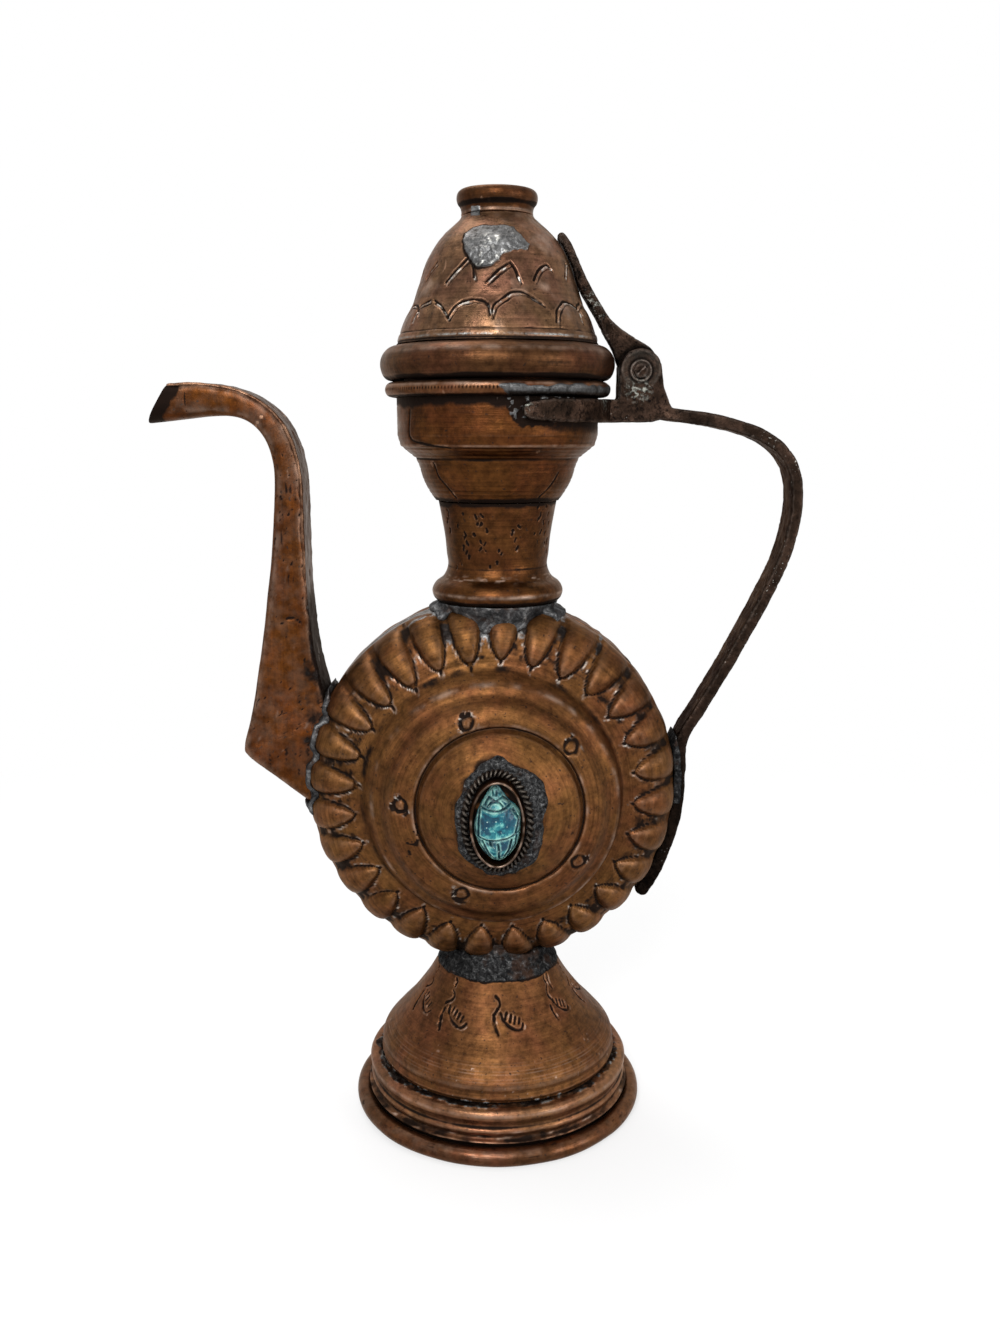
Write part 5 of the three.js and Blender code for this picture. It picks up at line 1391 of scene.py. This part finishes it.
def rope_piece():
    """Two strands twisted round each other and laid round the bezel's foot."""
    twists, strand, lay = 24, 0.62, 0.5
    steps, sides = 540, 10
    turn = full_turn(steps)
    x, z = oval_points(BEZEL_GAP + BEZEL_SECTION[-1, 0] + 0.15 + strand + lay, turn)
    path = np.column_stack([x, -(face_depth(x, z) + lay + strand * 0.7), z])
    tangent = np.roll(path, -1, axis=0) - np.roll(path, 1, axis=0)
    tangent /= np.linalg.norm(tangent, axis=1)[:, None]
    up = np.tile([0.0, -1.0, 0.0], (steps, 1))
    out = np.cross(tangent, up)
    points, faces, rubbed = [], [], []
    for half in (0, np.pi):
        twist = turn * twists + half
        core = path + lay * (np.cos(twist)[:, None] * out + np.sin(twist)[:, None] * up)
        faces += (np.array(ring_faces(sides, steps)) + len(points) * steps).tolist()
        for side in full_turn(sides):
            points.append(core + strand * (math.cos(side) * out + math.sin(side) * up))
            # Lighter on the strands' outward crests: rubbed wear, and a painted highlight where they face the
            # front.
            rubbed.append(step_up(np.sin(twist) + math.sin(side), 1.0, 1.8))
    points = np.vstack(points) + [SETTING_X, 0, SETTING_Z]
    return new_object("rope", points, faces, {"bright": np.concatenate(rubbed)})


def halo_piece():
    """The solder spread unevenly over the dome round the rope, wider at the right and the top."""
    columns, rows = 260, 34
    turn = full_turn(columns)
    reach = 2.0 + 1.1 * rough_noise(np.column_stack([np.cos(turn), np.sin(turn), 0 * turn]) * 10, 5, 3, 221)
    for angle, breadth, more in HALO_LOBES:
        reach = reach + more * peak((np.degrees(turn) - angle + 180) % 360 - 180, 0, breadth)
    inner, outer = np.array(oval_points(1.4, turn)), np.array(oval_points(3.0, turn))
    outer = outer * (1 + reach / np.hypot(*outer))
    share = np.repeat(np.linspace(0, 1, rows), columns)
    x, z = np.tile(inner, rows) + share * np.tile(outer - inner, rows)
    rough = rough_noise(np.column_stack([x, z, 0 * x]), 1.5, 4, 222)
    top = set_points(x, face_depth(x, z) + (1 - share ** 5) ** 0.5 * (0.75 + 0.38 * rough) - 0.12, z)
    under = np.vstack([top[-columns:], top[:columns]]) + [0, 1.4, 0]
    return new_object("halo", np.vstack([top, under]), ring_faces(rows + 2, columns))


dress(scarab_piece(), "pot", FAIENCE, "scarab")
dress(bezel_piece(), "pot", NECK_COPPER, "scarab_bezel")
dress(rope_piece(), "pot", DARK_METAL, "bezel_rope")
dress(halo_piece(), "pot", SOLDER, "bezel_solder")


# Solder round the foot, the neck, the spout, the handle and along the seam

FOOT_COVER = [
    [14.4, 47.4], [15.0, 46.2], [16.0, 44.4], [16.8, 42.8], [17.3, 41.6], [16.6, 41.2], [14.4, 42.4],
]
FOOT_CONE_LEVELS = [41, 43, 44.6, 46, 48, 60]
FOOT_CONE_RADII = [17.6, 16.6, 15.5, 14.6, 14.0, 14.0]


def foot_cover():
    """A plain ring over the gap at the top of the bell, to be melted into the solder."""
    across, aside, up = ring_points(FOOT_COVER, 160)
    points = np.column_stack([AXIS_X + across, aside, up])
    return new_object("cover", points, ring_faces(len(FOOT_COVER), 160))


def keep_in_cone(flow):
    x, y, z = mesh_points(flow).T
    share = np.minimum(1, np.interp(z, FOOT_CONE_LEVELS, FOOT_CONE_RADII) / np.hypot(x - AXIS_X, y))
    move_points(flow, np.column_stack([AXIS_X + (x - AXIS_X) * share, y * share, z]))


for piece_name, node, voxel, wobble, cell, seed, material in (
    ("foot_solder", "foot_solder_collar", 0.36, 0.16, 3.4, 301, DARK_SOLDER),
    ("neck_solder", "neck_solder_collar", 0.36, 0.16, 4.0, 311, SMOOTH_SOLDER),
    ("spout_solder_flow", "spout_solder", 0.35, 0.14, 2.6, 321, SMOOTH_SOLDER),
    ("handle_solder_flow", "handle_solder", 0.3, 0.14, 1.6, 331, DARK_SOLDER),
    ("seam_left", "seam_solder_left", 0.25, 0.08, 3.0, 341, SMOOTH_SOLDER),
    ("seam_right", "seam_solder_right", 0.25, 0.1, 2.4, 351, SMOOTH_SOLDER),
):
    flow = cad_copy(piece_name, node)
    if piece_name == "foot_solder":
        flow = join([flow, foot_cover()], piece_name)
    flow = remeshed(flow, voxel, wobble, cell, seed)
    if piece_name == "foot_solder":
        keep_in_cone(flow)
    dress(flow, "pot", material, node)


# Spout

SPOUT_RUN_SHARES = [
    [0.872, 0.998, 1.028, 0.905], [0.694, 1, 0.799, 0.914], [0.51, 0.994, 0.605, 0.922],
    [0.345, 0.977, 0.448, 0.921], [0.2, 0.945, 0.333, 0.906], [0.093, 0.9, 0.244, 0.872],
    [0.02, 0.838, 0.196, 0.825], [-0.012, 0.76, 0.182, 0.763], [-0.015, 0.62, 0.211, 0.616],
    [-0.022, 0.485, 0.26, 0.476], [-0.057, 0.35, 0.314, 0.336],
]
SPOUT_ROOT_SHARES = [
    [0.906, 0.52, 1.305, 0.385], [0.876, 0.43, 1.345, 0.22], [0.846, 0.36, 1.32, 0.155],
    [0.816, 0.26, 1.156, 0.025], [0.786, 0.16, 0.956, -0.13], [0.726, 0.06, 0.806, -0.26],
]
SPOUT_DEPTH_SHARES = [0.7, 0.72, 0.76, 0.78, 0.82, 1, 1]
SPOUT_STATIONS = 380
SPOUT_SIDES = 110
SPOUT_WALL = 1.0
SPOUT_NICK = [(-51.5, 140.8), (-50.3, 141.4), (-48.6, 140.9), (-47.3, 139.8)]


def spout_edge(first):
    """The spout's back edge with first 0, or its front edge with first 2, from the lip to the root."""
    points = [[BELLY_X - BELLY_RADIUS - SPOUT_OVERHANG * pair[first], BELLY_Z + SPOUT_RISE * pair[first + 1]]
              for pair in SPOUT_RUN_SHARES]
    points += [[BELLY_X - BELLY_RADIUS * pair[first], BELLY_Z + BELLY_RADIUS * pair[first + 1]]
               for pair in SPOUT_ROOT_SHARES]
    edge = smooth_line(points, 12)
    return line_at(edge, np.arange(len(edge)), np.linspace(0, len(edge) - 1, SPOUT_STATIONS))


def spout_frames():
    """For each station the spout's back and front, its width with the direction, and half its depth."""
    back, front = spout_edge(0), spout_edge(2)
    width = np.linalg.norm(front - back, axis=1)
    half = SPOUT_DEPTH * resampled(SPOUT_DEPTH_SHARES, SPOUT_STATIONS) / 2
    return back, front, width, (front - back) / width[:, None], half


def spout_section(width, half, roundness, grow):
    """The spout's section from the middle of its back: crowned faces and round front corners."""
    corner = min(2.4, width * 0.32) * (1 - roundness) + 0.9 * min(width / 2, half) * roundness
    back = 0.7 + 1.6 * roundness
    points = []
    corners = ((1, 1, 0, corner), (-1, 1, 90, back), (-1, -1, 180, back), (1, -1, 270, corner))
    for u, v, start, radius in corners:
        middle = width / 2 + u * (width / 2 + grow - radius), v * (half + grow - radius)
        points += circle(*middle, radius, np.radians(start + 18 * np.arange(6)))
    line = even_line(points + points[:1], 0.9)
    known = distances(line)
    return line_at(line, known, np.linspace(0, known[-1], SPOUT_SIDES, endpoint=False))


def spout_rings(grow):
    """The spout's rings of points, and how far each point lies from the back."""
    back, front, width, across, half = spout_frames()
    rounds = step_up((front[:, 1] + back[:, 1]) / 2, BELLY_Z + 38, BELLY_Z + 82)
    u, y = np.moveaxis([spout_section(*sizes, grow) for sizes in zip(width, half, rounds)], -1, 0)
    return np.stack([back[:, :1] + across[:, :1] * u, y, back[:, 1:] + across[:, 1:] * u], axis=-1), u.ravel()


def spout_piece():
    rings, from_back = spout_rings(0.0)
    outer = rings.reshape(-1, 3)
    inner = spout_rings(-SPOUT_WALL)[0][::-1].reshape(-1, 3)
    away = (rings - rings.mean(axis=1, keepdims=True)).reshape(-1, 3)
    away /= np.linalg.norm(away, axis=1)[:, None]
    ragged = rough_noise(outer, 3.0, 3, 401)
    back_near = peak(from_back, 0, 0.9)
    outer = outer + away * (0.1 * lattice_noise(outer, 7, 402) + 0.3 * back_near * ragged)[:, None]
    x, y, z = outer.T
    root = step_up(x, BELLY_X - BELLY_RADIUS - 3.5, BELLY_X - BELLY_RADIUS + 1.0)
    root = root * step_down(z, BELLY_Z + 30, BELLY_Z + 42)
    mouth = step_down(np.repeat(np.arange(SPOUT_STATIONS), SPOUT_SIDES) + 3 * ragged, 7, 15)
    low_part = step_down(z, BELLY_Z + 36, BELLY_Z + 48)
    seam = back_near * step_up(ragged, -0.2, 0.6) * low_part
    where = peak(z, 168, 20) + peak(z, 118, 14) * 0.7
    pits = step_up(lattice_noise(outer, 0.6, 404) + 0.3 * (where - 1), 0.5, 0.7)
    scratches = step_up(lattice_noise(outer * [1, 1, 0.12], 0.7, 406), 0.6, 0.85) * 0.6
    nick = peak(stroke_distance(x, z, [SPOUT_NICK], 1.2) + 2 * (y > 0), 0, 0.3)
    outer = outer - away * (0.12 * pits + 0.3 * nick)[:, None]
    # Painted highlights along the rounded corners; rubbed adds real wear streaks.
    corners = peak(np.abs(outer[:, 1]) - np.repeat(spout_frames()[-1], SPOUT_SIDES), -0.6, 0.5) * 0.22
    rubbed = step_up(lattice_noise(outer * [1, 1, 0.2], 0.7, 407), 0.7, 0.9) * 0.25
    grime_and_shade = most(back_near * (0.35 + 0.5 * low_part), root * (0.45 + 0.5 * ragged), mouth * 0.95, pits * 0.8)
    tin = most(root * step_up(ragged, 0.0, 0.7) * 0.8, seam * 0.85)
    # Each mark is its values on the face and its value in the bore.
    marks = {
        "grime_and_shade": (most(grime_and_shade, scratches, nick), 0.7),
        "bright": (most(corners, rubbed) * (1 - mouth), 0),
        "tin": (tin, 0),
    }
    bore = np.ones(len(inner))
    marks = {key: np.clip(np.r_[face, bore * value], 0, 1) for key, (face, value) in marks.items()}
    return new_object("spout", np.vstack([outer, inner]), ring_faces(2 * SPOUT_STATIONS, SPOUT_SIDES), marks)


def spout_strip():
    """The strip soldered along the spout's back, a little proud and uneven."""
    back, front, width, across, half = spout_frames()
    keep = np.nonzero(back[:, 0] < BELLY_X - 40)[0]
    path = [upright(back[i] + across[i] * 0.35, across[i]) for i in keep]
    strip = swept("spout_back", path, lambda i: eased_section(0.55, half[keep[i]] - 0.55, 0.3, 3))
    strip = remeshed(strip, 0.4, 0.12, 2.5, 411)
    spots = mesh_points(strip)
    up = spots[:, 2] - BELLY_Z
    add_mark(strip, "glare", step_up(rough_noise(spots, 1.2, 2, 412), 0.3, 0.7) * step_down(up, 48, 58))
    add_mark(strip, "grime_and_shade", step_down(up, 46, 62) * 0.6)
    return strip


dress(spout_piece(), "pot", SPOUT_COPPER, "spout_channel")
dress(spout_strip(), "pot", STRIP_COPPER, "spout_back_strip")


# Handle, hinge and arm

HANDLE_DROP = (YOKE_TOP + YOKE_BOTTOM) / 2 - BELLY_Z
HANDLE_RUN_SHARES = [
    [0.455, 1], [0.572, 0.991], [0.709, 0.975], [0.837, 0.946], [0.924, 0.902], [0.97, 0.841],
    [0.982, 0.763], [0.969, 0.679], [0.939, 0.598], [0.884, 0.499], [0.821, 0.4],
]
HANDLE_FALL_SHARES = [[1.25, 0.602], [1.138, 0.406]]
HANDLE_HUG_ANGLES = [13, 3, -9, -21, -31, -39]
HANDLE_STANDOFF_SHARES = [0.55, 0, 0, 0.05, 0.3, 0.5]
HANDLE_THICKNESS_SHARES = [1, 1, 0.95, 0.95, 0.95, 0.95, 1, 1.1, 1.15]
HANDLE_WIDTH_SHARES = [1, 1, 1, 1, 0.98, 0.92, 0.86, 0.8, 0.62]
EAR_HALF = 1.45
EAR_EDGE_RADIUS = 4.95
YOKE_HALF = 1.45
ARM_DOME_SHARES = [0.83, 0.745, 0.655, 0.555, 0.45]
ARM_REST_THICKNESS_SHARES = [0.85, 0.8, 0.8, 0.88, 1.08]
HEEL_SHARES = [
    [0.847, 0.8, 0.692, 0.862], [0.705, 0.624, 0.445, 0.6], [0.575, 0.429, 0.074, 0.395],
    [0.445, 0.257, -0.216, 0.248],
]
ARM_WIDTH_SHARES = [1, 1, 1, 1, 0.95, 0.85, 0.72, 0.63, 0.63, 0.63]
ARM_WIDTH = 7
ARM_THICKNESS = 2.6


def rounded(left):
    """How full a rounded tip is, from 0 at its end to 1 where it has its full size."""
    return np.sqrt(1 - (1 - left) ** 2)


def strap_piece():
    points = [[AXIS_X + HANDLE_REACH * out, BELLY_Z + HANDLE_DROP * up] for out, up in HANDLE_RUN_SHARES]
    points += [[BELLY_X + BELLY_RADIUS * out, BELLY_Z + BELLY_RADIUS * up] for out, up in HANDLE_FALL_SHARES]
    for angle, off in zip(HANDLE_HUG_ANGLES, HANDLE_STANDOFF_SHARES):
        radius = BELLY_RADIUS + GAP + HANDLE_THICKNESS * (0.5 + off)
        points += circle(BELLY_X, BELLY_Z, radius, [math.radians(angle)])
    line = even_line(smooth_line(points, 12), 0.9)
    tip = rounded(np.minimum(np.arange(len(line))[::-1] + 0.3, 2.2) / 2.2)
    thick = HANDLE_THICKNESS * resampled(HANDLE_THICKNESS_SHARES, len(line)) * tip
    wide = HANDLE_WIDTH * resampled(HANDLE_WIDTH_SHARES, len(line)) * (0.5 + 0.5 * tip)
    path = [upright(place, across) for place, across in zip(line, line_normals(line))]
    return swept("strap", path, lambda i: eased_section(thick[i] / 2, wide[i] / 2, min(0.75, thick[i] * 0.4)))


def yoke_piece():
    """The half ring that hugs the cup under its rim, its ends thinned."""
    turns = np.linspace(-77, 77, 90)
    ends = np.interp(np.abs(turns), [0, 62, 74, 77], [1, 1, 0.75, 0.4])
    half = (YOKE_TOP - YOKE_BOTTOM) / 2
    middle = np.array([AXIS_X, 0, (YOKE_TOP + YOKE_BOTTOM) / 2])
    path = []
    for turn in np.radians(turns):
        out = np.array([math.cos(turn), math.sin(turn), 0])
        path.append((middle + out * (CUP_RADIUS + GAP + YOKE_HALF), out, np.array([0, 0, 1.0])))
    thick = YOKE_HALF * (0.6 + 0.4 * ends)
    return swept("yoke", path, lambda i: eased_section(thick[i], half * ends[i], 0.7))


def plate(name, outline, half_width, offset=0.0):
    """A flat outline of [x, z] points given a width along Y."""
    x, z = np.array(outline, float).T
    sides = [np.column_stack([x, np.full(len(x), offset + side * half_width), z]) for side in (1, -1)]
    return new_object(name, np.vstack(sides), ring_faces(2, len(x), False))


def handle_piece():
    """The strap, the yoke, the block behind the cup and the two ears with a raised edge, cast in one."""
    block = plate("block", [
        [AXIS_X + 27.6, YOKE_BOTTOM], [AXIS_X + 40, YOKE_BOTTOM + 0.1], [AXIS_X + 44.4, YOKE_BOTTOM + 1.3],
        [AXIS_X + 45.4, YOKE_TOP - 2.4], [AXIS_X + 44.2, YOKE_TOP], [AXIS_X + 27.6, YOKE_TOP],
    ], HANDLE_WIDTH / 2)
    ear = [
        [HINGE_X - EAR_RADIUS + 0.1, YOKE_TOP - 0.5], [HINGE_X + 3, YOKE_BOTTOM + 2.4],
        [AXIS_X + 44.6, YOKE_BOTTOM + 2.6], [AXIS_X + 44.6, YOKE_TOP - 0.6],
        [HINGE_X + EAR_RADIUS + 0.6, YOKE_TOP + 3.2],
        *circle(HINGE_X, HINGE_Z, EAR_RADIUS, np.linspace(0.05, np.pi, 22)),
    ]
    ears = [plate("ear", ear, EAR_HALF, side * (HANDLE_WIDTH / 2 - EAR_HALF)) for side in (-1, 1)]
    outs = np.array(circle(0, 0, 1, np.linspace(-0.3, np.pi + 0.1, 30)))
    ridges = []
    for y in (-HANDLE_WIDTH / 2 - 0.05, HANDLE_WIDTH / 2 + 0.05):
        path = [upright([HINGE_X, HINGE_Z] + EAR_EDGE_RADIUS * out, out, y) for out in outs]
        ridges.append(swept("ridge", path, lambda i: eased_section(0.42, 0.42, 0.35, 3)))
    whole = join([strap_piece(), yoke_piece(), block, *ears, *ridges], "handle_cast")
    cast = remeshed(whole, 0.36, 0.11, 3.0, 501, 0.1, 0.85)
    x, y, z = mesh_points(cast).T
    from_pin = np.hypot(x - HINGE_X, z - HINGE_Z)
    side_face = step_up(np.abs(y), 4.6, 5.2) * step_up(z, HINGE_Z - 4.5, HINGE_Z - 2.5)
    disc = side_face * step_down(from_pin, 4.6, 5.1)
    # The ear's face painted lighter, partly rubbed wear and partly painted light that sets it apart from the
    # arm behind it, and lighter still on its raised edge.
    add_mark(cast, "bright", disc * (0.06 + 0.1 * peak(from_pin, 4.8, 0.4)))
    add_mark(cast, "grime_and_shade", side_face * peak(from_pin, 3.1, 0.35))
    return cast


def pin_piece():
    """The riveted pin with a low domed head in a ring at each end."""
    half, columns = HANDLE_WIDTH / 2, 40
    outline = np.array([
        [0.02, half + 0.5], [1.0, half + 0.5], [1.6, half + 0.45], [1.85, half + 0.3], [1.95, half - 0.05],
        [2.2, half - 0.1], [2.4, half + 0.2], [2.7, half + 0.2], [2.9, half - 0.1], [1.35, half - 0.2],
    ])
    outline = np.vstack([outline, outline[::-1] * [1, -1]])
    x, z, y = ring_points(outline, columns)
    radius = np.repeat(outline[:, 0], columns)
    marks = {"bright": 0.16 * (np.abs(radius - 2.55) < 0.2), "grime_and_shade": 1.0 * (np.abs(radius - 2.07) < 0.15)}
    points = np.column_stack([HINGE_X + x, y, HINGE_Z + z])
    return new_object("pin", points, ring_faces(len(outline), columns, False), marks)


def arm_piece():
    """The arm from high on the dome to the knuckle between the ears."""
    heights = DOME_BOTTOM + (DOME_TOP - DOME_BOTTOM) * np.array(ARM_DOME_SHARES)
    rests = [int(np.argmin(np.abs(DOME_LINE[:, 1] - height))) for height in heights]
    normals = line_normals(DOME_LINE)[rests]
    inner = list(DOME_LINE[rests] + normals * 0.39)
    outer = [point + normal * ARM_THICKNESS * share
             for point, normal, share in zip(inner, normals, ARM_REST_THICKNESS_SHARES)]
    reach = HINGE_X - AXIS_X
    run, rise = reach - inner[-1][0], inner[-1][1] - HINGE_Z
    for a, b, c, d in HEEL_SHARES:
        inner.append([reach - run * a, HINGE_Z + rise * b])
        outer.append([reach - run * c, HINGE_Z + rise * d])
    inner.append([reach - EAR_RADIUS + 0.4, HINGE_Z])
    outer.append([reach + EAR_RADIUS - 0.4, HINGE_Z])
    inner, outer = smooth_line(inner, 12), smooth_line(outer, 12)
    size = np.linalg.norm(outer - inner, axis=1)
    tip = rounded(np.minimum(1, (np.arange(len(inner)) + 0.6) / 5))
    half = size / 2 * tip
    wide = ARM_WIDTH * resampled(ARM_WIDTH_SHARES, len(inner)) * (0.6 + 0.4 * tip)
    path = [upright([AXIS_X, 0] + (a + b) / 2, (b - a) / thick) for a, b, thick in zip(inner, outer, size)]
    strip = swept("arm_strip", path, lambda i: eased_section(half[i], wide[i] / 2, min(0.8, half[i] * 0.6)))
    knuckle = plate("knuckle", circle(HINGE_X, HINGE_Z, EAR_RADIUS - 0.1, full_turn(40)), 2.15)
    cast = remeshed(join([strip, knuckle], "arm_cast"), 0.36, 0.1, 2.6, 511, 0.12, 0.8)
    x, y, z = mesh_points(cast).T
    # Painted shade on the knuckle and heel between the ears.
    add_mark(cast, "grime_and_shade", step_down(np.hypot(x - HINGE_X, z - HINGE_Z), 6.0, 7.4) * 0.9)
    return cast


dress(handle_piece(), "pot", DARK_METAL, "handle")
dress(pin_piece(), "pot", DARK_METAL, "hinge_pin")
dress(arm_piece(), "lid", DARK_METAL, "lid_arm")

# The flange inside the lid
FLANGE_LOW, FLANGE_HIGH = box_mm("lid_flange")
FLANGE_RADIUS = (FLANGE_HIGH[0] - FLANGE_LOW[0]) / 2
FLANGE_LINE = even_line([[FLANGE_RADIUS, FLANGE_LOW[2]], [FLANGE_RADIUS, FLANGE_HIGH[2]]], 0.5)
FLANGE_INNER = even_line(FLANGE_LINE[::-1] - [WALL, 0], 1.5)


def flange_relief(face):
    stain = step_up(face.rough(7, 3, 93), 0.0, 0.8) * 0.5
    # Painted shade along the flange's foot, in the gap under the lid rim; the stains are real.
    return 0.0, {"grime_and_shade": most(face.dark_band([LID_RIM_BOTTOM], 0.9, 1.0, 92), stain)}


flange = turned_piece("flange", FLANGE_LINE, FLANGE_INNER, 300, flange_relief, 91, 0.05)
dress(flange, "lid", SHADED_COPPER, "lid_flange")


# Stage

def seen_directly(nodes):
    """1 for rays from the camera and for reflections, 0 for the light that falls on the pot."""
    path = nodes.add("LightPath").outputs
    return nodes.maths("ADD", path["Is Camera Ray"], path["Is Glossy Ray"], True)


def make_world():
    """A background that shows white and lights the pot less."""
    nodes = Nodes(bpy.data.worlds.new("studio"))
    bpy.context.scene.world = nodes.owner
    strength = nodes.between(seen_directly(nodes), 0.55, 1.0)
    sky = nodes.add("Background", {"Color": (1, 1, 1), "Strength": strength})
    nodes.add("OutputWorld", {"Surface": sky.outputs[0]})


def make_floor():
    """A pale floor that fades into the background away from the pot."""
    size = 4000
    corners = [[x * size, y * size, -0.05] for x, y in ((-1, -1), (1, -1), (1, 1), (-1, 1))]
    floor = new_object("floor", corners, [[0, 1, 2, 3]])
    nodes = Nodes(bpy.data.materials.new("floor"))
    paint = nodes.add("BsdfDiffuse", {"Color": (0.9, 0.9, 0.9)})
    glow = nodes.add("Emission", {"Color": (1, 1, 1), "Strength": 1.0})
    reach = nodes.vector("LENGTH", nodes.add("TexCoord").outputs["Object"])
    share = nodes.add("MapRange", {
        "Value": reach, "From Min": 0.05, "From Max": 0.42, "To Min": 0.6, "To Max": 1.0,
    })
    seen = nodes.times(seen_directly(nodes), share.outputs[0])
    blend = nodes.add("MixShader", {0: seen, 1: paint.outputs[0], 2: glow.outputs[0]})
    nodes.add("OutputMaterial", {"Surface": blend.outputs[0]})
    floor.data.materials.append(nodes.owner)


def add_lamp(name, place, size, power):
    """A soft square lamp aimed at the pot's middle; places in millimetres, power in watts."""
    lamp = bpy.data.lights.new(name, "AREA")
    lamp.size = size * MM
    lamp.energy = power
    thing = new_thing(name, lamp)
    thing.location = Vector(place) * MM
    thing.rotation_euler = (Vector((AXIS_X, 0, 120)) - Vector(place)).to_track_quat("-Z", "Y").to_euler()


def make_camera():
    camera = bpy.data.cameras.new("camera")
    camera.sensor_fit = "VERTICAL"
    camera.sensor_height = SENSOR
    camera.lens = FOCAL_PIXELS * SENSOR / FRAME_HEIGHT_PIXELS
    camera.clip_start = 0.01
    camera.clip_end = 20
    thing = new_thing("camera", camera)
    thing.location = Vector((CAMERA_X, CAMERA_Y, CAMERA_Z)) * MM
    thing.rotation_euler = (math.radians(90 - CAMERA_PITCH), 0, 0)
    bpy.context.scene.camera = thing


make_world()
make_floor()
make_camera()
add_lamp("key", (-160, -800, 640), 340, 7)
add_lamp("fill", (700, -500, 300), 400, 3)
add_lamp("top", (-150, 250, 900), 450, 4)
bpy.context.scene.view_settings.view_transform = "Standard"
